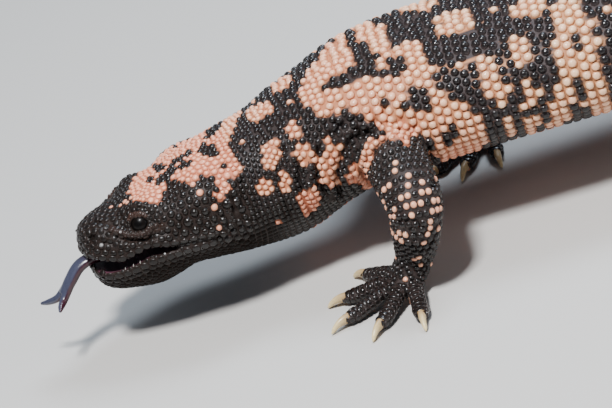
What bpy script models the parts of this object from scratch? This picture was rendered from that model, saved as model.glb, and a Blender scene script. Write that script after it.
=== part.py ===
"""A Gila monster at life size, walking slowly with its tongue out.

The body is one long loft along a spine, parted with thin cuts into head, neck, trunk and tail.
Its head points to -X, its left side to -Y, and its feet and tail stand on the floor at Z = 0.
All sizes below are in millimetres, and become metres when a mesh is made.
"""

import math

import bmesh
import bpy
import numpy as np
from mathutils import Vector

MM = 0.001
GAP = 0.3

# The nape is where the neck meets the head. The head is straight in front of it.
NAPE = np.array((-35.0, -2.5, 39.0))
HEAD_YAW = math.radians(8)
HEAD_ROLL = math.radians(5)
ROLL_ENDS_AT_X = 5.0

# Head sections: forward of the nape, half width, top, bottom, level of the widest place, squareness on top.
HEAD = (
    (60.1, 3.6, -0.2, -2.6, -1.4, 2.0),
    (59.5, 6.4, 3.0, -6.0, -1.8, 2.1),
    (58.9, 8.0, 4.9, -9.6, -2.2, 2.2),
    (58.0, 9.6, 6.6, -13.2, -2.6, 2.3),
    (56.2, 11.3, 7.9, -16.0, -3.0, 2.4),
    (53.4, 12.9, 8.8, -18.0, -3.2, 2.6),
    (48.2, 15.4, 9.6, -19.8, -3.4, 2.7),
    (43.2, 17.5, 10.4, -21.0, -3.4, 2.7),
    (38.2, 19.5, 12.6, -21.6, -3.2, 2.7),
    (32.6, 21.2, 14.1, -20.8, -3.0, 2.7),
    (26.0, 23.0, 14.8, -19.2, -3.0, 2.6),
    (17.6, 25.0, 17.4, -20.4, -2.6, 2.5),
    (9.0, 25.8, 17.6, -22.2, -2.0, 2.4),
    (0.0, 25.2, 19.4, -24.2, -1.6, 2.3),
)
# Body sections: place of the spine, half width, top, bottom, level of the widest place, squareness on top.
BODY = (
    (-22.0, -0.9, 39.6, 25.4, 20.8, -26.0, -1.3, 2.3),
    (-10.0, -0.1, 42.0, 26.8, 22.2, -24.4, -0.6, 2.3),
    (0.0, 0.0, 44.0, 29.0, 22.8, -23.2, -0.4, 2.3),
    (12.0, -0.2, 46.4, 32.4, 24.2, -23.2, 0.0, 2.3),
    (25.0, -0.6, 47.2, 35.4, 24.6, -23.6, 0.0, 2.3),
    (40.0, -1.2, 47.2, 37.4, 24.2, -22.8, 0.0, 2.3),
    (65.0, -2.8, 46.6, 38.8, 25.0, -22.2, -0.4, 2.3),
    (93.0, -4.6, 46.0, 39.4, 25.6, -22.6, -0.8, 2.3),
    (120.0, -5.2, 45.0, 39.0, 25.6, -22.2, -1.0, 2.3),
    (150.0, -4.0, 43.6, 36.8, 24.8, -21.4, -1.0, 2.3),
    (175.0, -0.8, 42.2, 32.4, 23.4, -20.2, -0.8, 2.2),
    (195.0, 2.8, 40.0, 27.0, 21.4, -18.4, -0.6, 2.1),
    (212.0, 7.4, 36.2, 22.0, 18.8, -17.2, -0.4, 2.0),
    (232.0, 14.2, 29.6, 19.2, 17.4, -16.6, 0.0, 2.0),
    (255.0, 22.4, 22.6, 18.8, 17.4, -17.0, 0.0, 2.0),
    (278.0, 30.0, 18.0, 18.0, 16.8, -17.6, 0.0, 2.0),
    (300.0, 35.6, 15.5, 16.0, 15.0, -15.9, 0.0, 2.0),
    (322.0, 38.8, 12.2, 12.6, 11.8, -12.6, 0.0, 2.0),
    (340.0, 39.2, 8.7, 8.8, 8.2, -9.1, 0.0, 2.0),
    (351.0, 38.4, 6.2, 5.4, 5.2, -6.4, 0.0, 2.0),
    (355.0, 38.0, 5.2, 2.4, 2.4, -2.6, 0.0, 2.0),
)
BELLY_SQUARENESS = 2.1

# The lips, as levels at places forward of the nape. They part in the middle of the mouth.
UPPER_LIP = (
    (10, -7.0), (20, -6.2), (30, -5.6), (35, -3.9), (40, -2.6),
    (45, -3.8), (50, -5.1), (54, -3.6), (58, -1.9), (70, -1.9),
)
LOWER_LIP = (
    (10, -7.4), (20, -6.6), (30, -6.4), (35, -6.6), (40, -6.4),
    (45, -7.8), (50, -8.5), (54, -8.7), (58, -7.6), (70, -7.2),
)
JAW_HINGE = 12.0
LIP_WIDTH = 5.0
LIP_SWELL = 0.6
LIP_REACH = 1.5
# The space of the lower jaw has a ring at each of these places, and is this wide and deep around the head.
JAW_PLACES = (64.0, 58.0, 54.0, 50.0, 45.0, 40.0, 35.0, 30.0, 25.0, 20.0)
JAW_ROOM = 34.0
# The floor of the mouth starts this far inside the lip, and its half width is at least this.
# Ahead of its front it stays as wide.
MOUTH_LEDGE = 1.5
MOUTH_HALF_WIDTH = 2.5
MOUTH_FRONT = 58.8

# Swellings and hollows of the head: forward of the nape, distance to the side, level, reach, height.
HEAD_FORMS = {
    "brow": (36.8, 13.5, 12.0, 4.6, 1.7),
    "socket": (39.9, 17.5, 5.0, 5.5, -1.3),
    "fold under the eye": (36.5, 19.5, -0.4, 3.2, 0.7),
    "temple": (17.0, 21.0, 9.0, 9.0, 1.2),
    "cheek": (20.0, 25.0, -2.0, 9.0, 1.0),
    "groove behind the brow": (28.0, 15.0, 13.0, 4.0, -0.8),
    "snout side": (50.5, 12.0, 3.0, 4.0, -0.6),
}

EYE_FORWARD = 39.9
EYE_LEVEL = 5.8
EYE_RADIUS = 3.7
EYE_DEPTH = 2.3
LID_RADIUS = 3.5
LID_THICKNESS = 1.0
NOSTRIL_FORWARD = 56.4
NOSTRIL_LEVEL = 5.4
NOSTRIL_RADIUS = 1.2
NOSTRIL_DEPTH = 2.0
EAR_FORWARD = 9.0
EAR_LEVEL = 2.4
EAR_HEIGHT = 4.8
EAR_WIDTH = 1.1
EAR_DEPTH = 1.8

# Lengths of the body that are nodes: name, from X, to X, points around, step between rings, bead height.
# Every second point stands up by the rise and the others lie as far below, which makes rows of beads.
LENGTHS = (
    ("neck", -35.0, -2.0, 42, 3.6, 0.38),
    ("trunk_front", -2.0, 100.0, 46, 4.5, 0.48),
    ("trunk_rear", 100.0, 210.0, 46, 4.6, 0.48),
    ("tail_base", 210.0, 252.0, 32, 4.5, 0.45),
    ("tail_middle", 252.0, 302.0, 30, 4.5, 0.45),
    ("tail_tip", 302.0, 355.0, 24, 4.3, 0.38),
)
HEAD_POINTS_AROUND = 36
HEAD_STEP = 3.2
# Rings of the blunt snout, behind its tip, and where the even rings begin.
SNOUT_RINGS = (0.0, 0.6, 1.2, 2.1, 3.8, 6.0)
EVEN_RINGS_FROM = 8.6
HEAD_RISE = 0.3
LEG_RISE = 0.32
# The beads of the head lie flat this near to the eye and the lips.
CALM_REACH = 5.0

# Each leg's path from the hip or shoulder, inside the trunk, to the front of the palm.
# Each row is a place, a half width and a half depth.
LEGS = {
    "left_fore": (
        (16.0, -18.0, 43.0, 12.4, 12.2),
        (16.0, -33.0, 41.8, 11.6, 11.2),
        (16.6, -45.6, 38.0, 10.3, 10.2),
        (16.4, -54.2, 31.2, 9.4, 9.2),
        (14.0, -53.4, 22.4, 8.3, 8.0),
        (11.4, -48.8, 13.4, 6.9, 6.5),
        (7.8, -48.6, 7.4, 7.8, 5.2),
        (2.4, -50.4, 4.9, 8.2, 4.2),
        (-1.6, -51.8, 4.1, 6.4, 3.0),
    ),
    "right_fore": (
        (17.0, 18.0, 43.0, 12.4, 12.2),
        (19.5, 32.5, 41.6, 11.6, 11.2),
        (25.0, 44.5, 38.0, 10.2, 10.0),
        (32.6, 51.6, 31.2, 9.2, 9.0),
        (40.6, 51.4, 22.6, 8.3, 8.0),
        (49.0, 47.2, 13.4, 7.0, 6.6),
        (49.6, 43.0, 7.6, 7.8, 5.2),
        (45.6, 38.6, 4.9, 8.2, 4.2),
        (42.6, 35.8, 4.1, 6.4, 3.0),
    ),
    "left_hind": (
        (191.0, -12.0, 38.8, 14.0, 13.0),
        (187.0, -28.0, 38.2, 13.2, 12.2),
        (180.0, -43.0, 36.2, 11.4, 11.0),
        (178.6, -52.6, 31.4, 10.0, 9.6),
        (185.4, -58.0, 23.6, 8.8, 8.4),
        (192.6, -60.4, 14.0, 7.4, 6.8),
        (190.4, -63.2, 7.6, 8.2, 5.2),
        (185.0, -67.4, 4.9, 8.8, 4.2),
        (181.2, -70.4, 4.1, 7.0, 3.0),
    ),
    "right_hind": (
        (190.0, 18.0, 38.8, 14.0, 13.0),
        (184.0, 31.0, 38.4, 13.2, 12.2),
        (172.0, 43.0, 36.8, 11.4, 11.0),
        (164.8, 51.0, 32.4, 10.0, 9.6),
        (168.0, 57.6, 24.0, 8.8, 8.4),
        (174.0, 61.2, 14.0, 7.4, 6.8),
        (171.8, 63.0, 7.6, 8.2, 5.2),
        (165.4, 66.0, 4.9, 8.8, 4.2),
        (161.0, 68.2, 4.1, 7.0, 3.0),
    ),
}
UPPER_ENDS = 3
LOWER_ENDS = 5
# Points around a leg, step between its rings, and rise of its beads.
LEG_GRID = (16, 3.8, LEG_RISE)
PALM_GRID = (12, 3.6)
# The rings of a leg turn into a bend this far before it, so that they don't cross inside an elbow or knee.
BEND_SPREAD = 8.0

# Toes: the way each points, in degrees outward of -X, and its length from the palm to the claw.
TOE_WAYS = {
    "left_fore": (-52, -14, 19, 52, 86),
    "right_fore": (-88, -62, -38, -14, 12),
    "left_hind": (-6, 18, 38, 62, 96),
    "right_hind": (-20, 6, 26, 50, 84),
}
FORE_TOE_LENGTHS = (15.5, 19.0, 21.0, 20.5, 18.0)
HIND_TOE_LENGTHS = (15.5, 19.5, 22.0, 22.5, 18.5)
TOE_SPREAD = 3.2
TOE_SETBACK = 1.6
TOE_POINTS_AROUND = 6
# A toe arches from the palm to its pad: share of its length, height of the middle, half width, half depth.
TOE_STATIONS = (
    (0.0, 4.2, 3.1, 2.9),
    (0.3, 4.7, 2.9, 2.8),
    (0.6, 3.5, 2.8, 2.7),
    (0.85, 2.6, 2.8, 2.7),
    (1.0, 2.6, 2.2, 2.1),
)
# A claw bends down to the floor: share of its length, height of the middle, half thickness.
CLAW_LENGTH = 7.0
CLAW_STATIONS = (
    (0.02, 2.9, 1.8),
    (0.5, 2.8, 1.45),
    (1.0, 1.1, 0.7),
)

# The tongue lies in the mouth, comes out between the lips, and forks.
# Each row is forward of the nape, side, level, half width, half thickness.
TONGUE_STEM = (
    (46.0, 0.0, -6.6, 2.6, 1.2),
    (54.0, 0.0, -5.5, 2.9, 1.6),
    (59.0, 0.0, -4.7, 3.1, 2.0),
    (62.8, 0.0, -5.6, 3.2, 2.1),
    (67.2, 0.0, -9.0, 3.2, 2.1),
    (71.2, 0.0, -12.8, 2.9, 1.8),
)
TONGUE_PRONG = (
    (69.4, 1.2, -11.1, 1.7, 1.5),
    (72.8, 2.2, -14.0, 1.5, 1.4),
    (75.4, 4.6, -15.0, 1.1, 1.1),
    (77.2, 7.2, -15.4, 0.6, 0.55),
)
# The fork is turned a little, so that the right prong reaches further by this share of its side.
FORK_TURN = 0.28

COLOURS = {
    "pale bead": (0.80, 0.47, 0.32),
    "dark bead": (0.045, 0.028, 0.026),
    "tongue": (0.10, 0.03, 0.06),
    "eye": (0.012, 0.010, 0.010),
}


def curve_values(rows, knots, places):
    """Smooth values between the rows of a table, on a cubic curve through them."""
    rows = np.asarray(rows, float)
    knots = np.asarray(knots, float)
    places = np.atleast_1d(np.asarray(places, float))
    slopes = np.gradient(rows, knots, axis=0)
    index = np.clip(np.searchsorted(knots, places) - 1, 0, len(knots) - 2)
    span = (knots[index + 1] - knots[index])[:, None]
    u = (places - knots[index])[:, None] / span
    return (
        (2 * u**3 - 3 * u**2 + 1) * rows[index]
        + (u**3 - 2 * u**2 + u) * span * slopes[index]
        + (3 * u**2 - 2 * u**3) * rows[index + 1]
        + (u**3 - u**2) * span * slopes[index + 1]
    )


def lengths_along(points):
    steps = np.linalg.norm(np.diff(points, axis=0), axis=1)
    return np.concatenate(((0.0,), np.cumsum(steps)))


def smooth_step(value, low, high):
    u = np.clip((value - low) / (high - low), 0.0, 1.0)
    return u * u * (3 - 2 * u)


def head_forward():
    return np.array((-math.cos(HEAD_YAW), -math.sin(HEAD_YAW), 0.0))


def axis_rows():
    """All sections from snout to tail: place, half width, top, bottom, widest level and squareness."""
    head = [(*(NAPE + forward * head_forward()), *sizes) for forward, *sizes in HEAD]
    return np.array(head + [row for row in BODY])


AXIS = axis_rows()
AXIS_KNOTS = lengths_along(AXIS[:, :3])
NAPE_PLACE = AXIS_KNOTS[len(HEAD) - 1]


def place_at_x(x):
    """How far along the spine the body crosses this X."""
    fine = np.linspace(0.0, AXIS_KNOTS[-1], 4000)
    xs = curve_values(AXIS[:, :1], AXIS_KNOTS, fine)[:, 0]
    return float(np.interp(x, xs, fine))


def section_frame(place):
    """The middle of a section with its left and up directions."""
    before, middle, after = curve_values(AXIS[:, :3], AXIS_KNOTS, (place - 0.5, place, place + 0.5))
    back = (after - before) / np.linalg.norm(after - before)
    left = np.cross(back, (0.0, 0.0, 1.0))
    left /= np.linalg.norm(left)
    up = np.cross(left, back)
    roll = HEAD_ROLL * (1 - smooth_step(place, NAPE_PLACE, place_at_x(ROLL_ENDS_AT_X)))
    return middle, left * math.cos(roll) + up * math.sin(roll), up * math.cos(roll) - left * math.sin(roll)


def lip_level(lip, forward):
    return float(np.interp(forward, *np.array(lip).T))


def head_swell(forward, side, level):
    """How far the head's surface stands out at a place, from its named forms and its lips."""
    swell = 0.0
    for where, beside, height, reach, amount in HEAD_FORMS.values():
        away = (forward - where) ** 2 + (abs(side) - beside) ** 2 + (level - height) ** 2
        swell += amount * math.exp(-away / reach**2)
    along = smooth_step(forward, 16.0, 26.0)
    above = level - lip_level(UPPER_LIP, forward) - LIP_REACH
    below = level - lip_level(LOWER_LIP, forward) + LIP_REACH
    lips = math.exp(-((above / LIP_REACH) ** 2)) + math.exp(-((below / LIP_REACH) ** 2))
    return swell + LIP_SWELL * along * min(lips, 1.0)


def head_calm(forward, level):
    """How far the head's beads stand up at a place: 0 beside the eye and the lips, 1 away from them."""
    from_eye = math.hypot(forward - EYE_FORWARD, level - EYE_LEVEL)
    lips = (lip_level(UPPER_LIP, forward) + lip_level(LOWER_LIP, forward)) / 2
    from_lips = abs(level - lips) if forward > JAW_HINGE - 2 else CALM_REACH * 2
    nearest = min(from_eye - LID_RADIUS, from_lips)
    return float(smooth_step(nearest, 1.0, CALM_REACH))


def section(place, around, row=0, rise=0.0, grow=0.0):
    """One ring of points around the body, with every second point raised into a bead."""
    middle, left, up = section_frame(place)
    width, top, bottom, widest, square = curve_values(AXIS[:, 3:], AXIS_KNOTS, place)[0]
    ring = []
    for number in range(around):
        angle = 2 * math.pi * number / around
        across, rising = math.cos(angle), math.sin(angle)
        power = square if rising > 0 else BELLY_SQUARENESS
        height = top - widest if rising > 0 else widest - bottom
        scale = (abs(across) ** power + abs(rising) ** power) ** (-1 / power)
        side, level = width * across * scale, height * rising * scale
        slope_side = math.copysign(abs(across * scale) ** (power - 1) / width, across)
        slope_up = math.copysign(abs(rising * scale) ** (power - 1) / height, rising)
        slope = math.hypot(slope_side, slope_up)
        out = rise if (row + number) % 2 == 0 else -rise
        if place < NAPE_PLACE:
            out *= head_calm(NAPE_PLACE - place, level + widest)
            out += head_swell(NAPE_PLACE - place, side, level + widest)
        out += grow
        side += out * slope_side / slope
        level += widest + out * slope_up / slope
        ring.append(middle + side * left + level * up)
    return ring


def in_head(forward, side, level):
    """A point given in the head's own directions, side counted to the animal's left."""
    middle, left, up = section_frame(NAPE_PLACE - forward)
    return middle + side * left + level * up


def head_side(forward, level):
    """How far from the middle the head's side lies at a level."""
    width, top, bottom, widest, square = curve_values(AXIS[:, 3:], AXIS_KNOTS, NAPE_PLACE - forward)[0]
    power = square if level > widest else BELLY_SQUARENESS
    height = top - widest if level > widest else widest - bottom
    side = width * max(0.0, 1 - abs((level - widest) / height) ** power) ** (1 / power)
    return side + head_swell(forward, side, level)


def head_surface(forward, level, hand):
    """A point on the head's side with the direction out of it. The hand is 1 for left and -1 for right."""
    here = in_head(forward, hand * head_side(forward, level), level)
    ahead = in_head(forward + 1.5, hand * head_side(forward + 1.5, level), level)
    above = in_head(forward, hand * head_side(forward, level + 1.5), level + 1.5)
    out = np.cross(ahead - here, above - here)
    out /= np.linalg.norm(out)
    outward = in_head(forward, hand * 10.0, level) - in_head(forward, 0.0, level)
    return here, out if out @ outward > 0 else -out


def new_object(name, points, faces, collection):
    mesh = bpy.data.meshes.new(name)
    mesh.from_pydata([tuple(point * MM) for point in points], [], faces)
    body = bmesh.new()
    body.from_mesh(mesh)
    bmesh.ops.recalc_face_normals(body, faces=body.faces)
    body.to_mesh(mesh)
    body.free()
    obj = bpy.data.objects.new(name, mesh)
    collection.objects.link(obj)
    if collection is TOOLS:
        obj.hide_render = True
        obj.display_type = "WIRE"
    return obj


def loft(name, rings, collection):
    """A closed body through rings of equal count. Each square is split between its two low corners."""
    count = len(rings[0])
    faces = [tuple(range(count)), tuple(range((len(rings) - 1) * count, len(rings) * count))]
    for row in range(len(rings) - 1):
        for number in range(count):
            a = row * count + number
            b = row * count + (number + 1) % count
            if (row + number) % 2 == 0:
                faces += [(a, b, a + count), (b, b + count, a + count)]
                continue
            faces += [(a, b, b + count), (a, b + count, a + count)]
    return new_object(name, [point for ring in rings for point in ring], faces, collection)


def apply_modifiers(obj):
    graph = bpy.context.evaluated_depsgraph_get()
    mesh = bpy.data.meshes.new_from_object(obj.evaluated_get(graph))
    obj.modifiers.clear()
    obj.data = mesh


def combine(obj, other, operation):
    """Cuts, joins or intersects one mesh with another, and removes the other."""
    modifier = obj.modifiers.new(operation.title(), "BOOLEAN")
    modifier.operation = operation
    modifier.solver = "EXACT"
    modifier.object = other
    apply_modifiers(obj)
    bpy.data.objects.remove(other)
    keep_largest(obj)


def keep_largest(obj):
    """Keeps only the largest closed surface of a mesh."""
    body = bmesh.new()
    body.from_mesh(obj.data)
    left = set(body.faces)
    shells = []
    while left:
        shell, edge = set(), [left.pop()]
        while edge:
            face = edge.pop()
            shell.add(face)
            for border in face.edges:
                for neighbour in border.link_faces:
                    if neighbour in left:
                        left.remove(neighbour)
                        edge.append(neighbour)
        shells.append(shell)
    shells.sort(key=lambda shell: sum(face.calc_area() for face in shell))
    for shell in shells[:-1]:
        bmesh.ops.delete(body, geom=list(shell), context="FACES")
    body.to_mesh(obj.data)
    body.free()


def cut_at_floor(obj):
    """Takes off what lies below the floor, which leaves small flats to stand on."""
    bpy.ops.mesh.primitive_cube_add(size=1.0)
    block = bpy.context.object
    for collection in list(block.users_collection):
        collection.objects.unlink(block)
    TOOLS.objects.link(block)
    block.hide_render = True
    block.scale = (1.0, 1.0, 0.05)
    block.location = (0.1, 0.0, -0.025)
    bpy.context.view_layer.update()
    combine(obj, block, "DIFFERENCE")


def material(name, colour, roughness):
    made = bpy.data.materials.new(name)
    made.use_nodes = True
    shader = made.node_tree.nodes["Principled BSDF"]
    shader.inputs["Base Color"].default_value = (*colour, 1.0)
    shader.inputs["Roughness"].default_value = roughness
    return made


def finish(obj, colour, roughness=0.4):
    """Gives a node its own material and stands it on the model's centre."""
    obj.data.materials.clear()
    obj.data.materials.append(material(obj.name, COLOURS[colour], roughness))
    obj.data.shade_smooth()
    obj.data.set_sharp_from_angle(angle=math.radians(35))
    obj.parent = STAND


def length_rings(start, end, around, step, rise, grow=0.0):
    """Rings from one X to another, half a gap short at each end, with beads that die away at the ends."""
    first, last = place_at_x(start) + GAP / 2, place_at_x(end) - GAP / 2
    if end >= BODY[-1][0]:
        last = AXIS_KNOTS[-1]
    count = round((last - first) / step)
    rings = []
    for row in range(count + 1):
        height = rise if 0 < row < count else 0.0
        place = first + (last - first) * row / count
        rings.append(section(place, around, row, height, grow))
    return rings


def make_lengths():
    for name, *sizes in LENGTHS:
        obj = loft(name, length_rings(*sizes), PARTS)
        if name in ("tail_middle", "tail_tip"):
            cut_at_floor(obj)
        finish(obj, "pale bead")


def jaw_cutter(name, hinge, lift):
    """The space of the lower jaw. Its inner part is raised, so the mouth opens only between the lips."""
    rings = []
    for forward in (*JAW_PLACES, hinge):
        upper = lip_level(UPPER_LIP, forward)
        lower = lip_level(LOWER_LIP, forward)
        if lift:
            outer = inner = upper
        else:
            outer = lower
            inner = max(lower, upper - GAP * 1.2)
        place = NAPE_PLACE - min(forward, MOUTH_FRONT)
        half_width = curve_values(AXIS[:, 3:4], AXIS_KNOTS, place)[0, 0]
        reach = max(MOUTH_HALF_WIDTH, half_width - LIP_WIDTH)
        ledge = reach - MOUTH_LEDGE
        outline = (
            (JAW_ROOM, outer), (reach, outer), (ledge, inner), (-ledge, inner),
            (-reach, outer), (-JAW_ROOM, outer), (-JAW_ROOM, -JAW_ROOM), (JAW_ROOM, -JAW_ROOM),
        )
        rings.append([in_head(forward, side, level) for side, level in outline])
    return loft(name, rings, TOOLS)


def tongue_rings(rows, around, grow, hand=1):
    """Flat oval rings along a path given in the head's own directions."""
    rows = np.array(rows)
    rows[:, 1] *= hand
    rows[:, 0] -= FORK_TURN * rows[:, 1]
    knots = lengths_along(rows[:, :3])
    rings = []
    for place in np.linspace(0.0, knots[-1], 2 * len(rows) - 1):
        forward, side, level, width, thickness = curve_values(rows, knots, place)[0]
        behind, before = curve_values(rows[:, :3], knots, (place - 0.2, place + 0.2))
        ahead = (before - behind) / np.linalg.norm(before - behind)
        across = np.cross(ahead, np.cross((0.0, 1.0, 0.0), ahead))
        across /= np.linalg.norm(across)
        thick = np.cross(across, ahead)
        ring = []
        for number in range(around):
            angle = 2 * math.pi * (number + 0.5) / around
            offset = (width + grow) * math.cos(angle) * across
            offset += (thickness + grow) * math.sin(angle) * thick
            ring.append(in_head(*(np.array((forward, side, level)) + offset)))
        rings.append(ring)
    return rings


def make_tongue():
    stem = loft("tongue", tongue_rings(TONGUE_STEM, 8, 0.0), PARTS)
    for hand in (1, -1):
        prong = loft("prong", tongue_rings(TONGUE_PRONG, 6, 0.0, hand), TOOLS)
        combine(stem, prong, "UNION")
    finish(stem, "tongue", 0.25)


def placed_shape(kind, place, out, sizes, collection):
    """A ball, rod or ring at a point of the head, its axis pointing out."""
    body = bmesh.new()
    if kind == "ball":
        bmesh.ops.create_uvsphere(body, u_segments=14, v_segments=8, radius=1.0)
    if kind == "rod":
        bmesh.ops.create_cone(body, cap_ends=True, segments=10, radius1=1.0, radius2=1.0, depth=2.0)
    mesh = bpy.data.meshes.new(kind)
    body.to_mesh(mesh)
    body.free()
    turn = Vector(out).to_track_quat("Z", "Y").to_matrix()
    for vertex in mesh.vertices:
        local = Vector(a * b for a, b in zip(vertex.co, sizes))
        vertex.co = (Vector(place) + turn @ local) * MM
    obj = bpy.data.objects.new(kind, mesh)
    collection.objects.link(obj)
    if collection is TOOLS:
        obj.hide_render = True
        obj.display_type = "WIRE"
    return obj


def lid_ring(place, out):
    """A ring around the eye, made from a torus laid on the head's side."""
    turn = Vector(out).to_track_quat("Z", "Y")
    bpy.ops.mesh.primitive_torus_add(
        major_radius=LID_RADIUS * MM,
        minor_radius=LID_THICKNESS * MM,
        major_segments=16,
        minor_segments=6,
        location=Vector(place * MM),
        rotation=turn.to_euler(),
    )
    ring = bpy.context.object
    for collection in list(ring.users_collection):
        collection.objects.unlink(ring)
    TOOLS.objects.link(ring)
    ring.hide_render = True
    return ring


def make_head():
    last = NAPE_PLACE - GAP / 2
    count = round(last / HEAD_STEP)
    rest = np.linspace(EVEN_RINGS_FROM, last, count - len(SNOUT_RINGS) + 1)
    places = (*SNOUT_RINGS, *rest)
    beaded = range(len(SNOUT_RINGS), len(places) - 1)
    rises = [HEAD_RISE if row in beaded else 0.0 for row in range(len(places))]
    rings = [section(place, HEAD_POINTS_AROUND, row, rises[row]) for row, place in enumerate(places)]
    head = loft("head", rings, PARTS)
    lower_jaw = loft("lower_jaw", rings, PARTS)
    for hand, side in ((1, "left"), (-1, "right")):
        place, out = head_surface(EYE_FORWARD, EYE_LEVEL, hand)
        combine(head, lid_ring(place, out), "UNION")
        centre = place - EYE_DEPTH * out
        combine(head, placed_shape("ball", centre, out, [EYE_RADIUS + GAP] * 3, TOOLS), "DIFFERENCE")
        eye = placed_shape("ball", centre, out, [EYE_RADIUS] * 3, PARTS)
        eye.name = f"eye_{side}"
        finish(eye, "eye", 0.08)
        place, out = head_surface(NOSTRIL_FORWARD, NOSTRIL_LEVEL, hand)
        sizes = (NOSTRIL_RADIUS * 1.3, NOSTRIL_RADIUS, NOSTRIL_DEPTH)
        combine(head, placed_shape("rod", place, out, sizes, TOOLS), "DIFFERENCE")
        place, out = head_surface(EAR_FORWARD, EAR_LEVEL, hand)
        slot = placed_shape("rod", place, out, (EAR_WIDTH, EAR_HEIGHT, EAR_DEPTH), TOOLS)
        combine(head, slot, "DIFFERENCE")
    combine(head, jaw_cutter("mouth", JAW_HINGE - GAP, True), "DIFFERENCE")
    combine(lower_jaw, jaw_cutter("jaw", JAW_HINGE, False), "INTERSECT")
    combine(head, loft("channel", tongue_rings(TONGUE_STEM, 8, GAP), TOOLS), "DIFFERENCE")
    combine(lower_jaw, loft("channel", tongue_rings(TONGUE_STEM, 8, GAP), TOOLS), "DIFFERENCE")
    finish(head, "dark bead")
    finish(lower_jaw, "dark bead")


def leg_rings(path, first, last, around, step, rise=0.0):
    """Oval rings along a leg, from one row of its path to another, turned as the palm is all the way up."""
    rows = np.array(path)
    knots = lengths_along(rows[:, :3])
    fine = np.linspace(0.0, knots[-1], 120)
    points = curve_values(rows[:, :3], knots, fine)
    ends = (np.clip(fine + BEND_SPREAD, 0.0, knots[-1]), np.clip(fine - BEND_SPREAD, 0.0, knots[-1]))
    ways = curve_values(rows[:, :3], knots, ends[0]) - curve_values(rows[:, :3], knots, ends[1])
    ways /= np.linalg.norm(ways, axis=1)[:, None]
    across = np.cross((0.0, 0.0, 1.0), ways[-1])
    sides = np.zeros_like(ways)
    for number in range(len(fine) - 1, -1, -1):
        across = across - (across @ ways[number]) * ways[number]
        across /= np.linalg.norm(across)
        sides[number] = across
    count = max(2, round((knots[last] - knots[first]) / step))
    rings = []
    for number, place in enumerate(np.linspace(knots[first], knots[last], count + 1)):
        middle = np.array([np.interp(place, fine, points[:, axis]) for axis in range(3)])
        way = np.array([np.interp(place, fine, ways[:, axis]) for axis in range(3)])
        side = np.array([np.interp(place, fine, sides[:, axis]) for axis in range(3)])
        way /= np.linalg.norm(way)
        if number == 0 and first:
            middle = middle + way * GAP / 2
        if number == count and last < len(rows) - 1:
            middle = middle - way * GAP / 2
        side -= (side @ way) * way
        side /= np.linalg.norm(side)
        thick = np.cross(way, side)
        width, depth = curve_values(rows[:, 3:], knots, place)[0]
        ring = []
        for point in range(around):
            angle = 2 * math.pi * point / around
            out = rise if (number + point) % 2 == 0 else -rise
            out = out if 0 < number < count else 0.0
            ring.append(
                middle + (width + out) * math.cos(angle) * side + (depth + out) * math.sin(angle) * thick
            )
        rings.append(ring)
    return rings


def toe_rings(root, way, length):
    """One toe and its claw: an arch from the palm to the pad, then a claw that bends to the floor."""
    rows = [(share * length, *sizes) for share, *sizes in TOE_STATIONS]
    rows += [(length + share * CLAW_LENGTH, high, thick, thick) for share, high, thick in CLAW_STATIONS]
    across = np.array((-way[1], way[0], 0.0))
    rings = []
    for along, height, width, depth in rows:
        middle = np.array((root[0], root[1], 0.0)) + along * way + np.array((0.0, 0.0, height))
        ring = []
        for number in range(TOE_POINTS_AROUND):
            angle = 2 * math.pi * (number + 0.5) / TOE_POINTS_AROUND
            offset = width * math.cos(angle) * across + np.array((0.0, 0.0, depth * math.sin(angle)))
            ring.append(middle + offset)
        rings.append(ring)
    return rings


def make_foot(name, path, ways, lengths, hand):
    """The palm with its five toes and claws, joined into one body that stands flat on the floor."""
    foot = loft(f"{name}_foot", leg_rings(path, LOWER_ENDS, len(path) - 1, *PALM_GRID), PARTS)
    heading = np.array(path[-1][:2]) - np.array(path[-3][:2])
    heading /= np.linalg.norm(heading)
    outward = hand * np.array((-heading[1], heading[0]))
    palm = np.array(path[-2][:2])
    for number, (degrees, length) in enumerate(zip(ways, lengths)):
        angle = math.radians(degrees)
        way = np.array((-math.cos(angle), -hand * math.sin(angle), 0.0))
        beside = number - 2
        root = palm + outward * TOE_SPREAD * beside - heading * abs(beside) * TOE_SETBACK
        toe = loft("toe", toe_rings(root, way, length), TOOLS)
        combine(foot, toe, "UNION")
    cut_at_floor(foot)
    finish(foot, "dark bead")


def make_legs():
    for name, path in LEGS.items():
        hand = 1 if name.startswith("left") else -1
        fore = name.endswith("fore")
        upper_name = "upper_arm" if fore else "thigh"
        lower_name = "forearm" if fore else "shin"
        upper = loft(f"{name}_{upper_name}", leg_rings(path, 0, UPPER_ENDS, *LEG_GRID), PARTS)
        length = LENGTHS[1] if fore else LENGTHS[2]
        trunk = loft("trunk", length_rings(*length[1:], GAP), TOOLS)
        combine(upper, trunk, "DIFFERENCE")
        finish(upper, "dark bead")
        rings = leg_rings(path, UPPER_ENDS, LOWER_ENDS, *LEG_GRID)
        lower = loft(f"{name}_{lower_name}", rings, PARTS)
        finish(lower, "dark bead")
        lengths = FORE_TOE_LENGTHS if fore else HIND_TOE_LENGTHS
        make_foot(name, path, TOE_WAYS[name], lengths, hand)


def centre_on_origin():
    """Moves the stand so that the model's box has the middle of its base at the origin."""
    bpy.context.view_layer.update()
    points = np.array([obj.matrix_world @ vertex.co for obj in PARTS.objects if obj.type == "MESH"
                       for vertex in obj.data.vertices])
    low, high = points.min(axis=0), points.max(axis=0)
    STAND.location = (-(low[0] + high[0]) / 2, -(low[1] + high[1]) / 2, -low[2])


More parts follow.
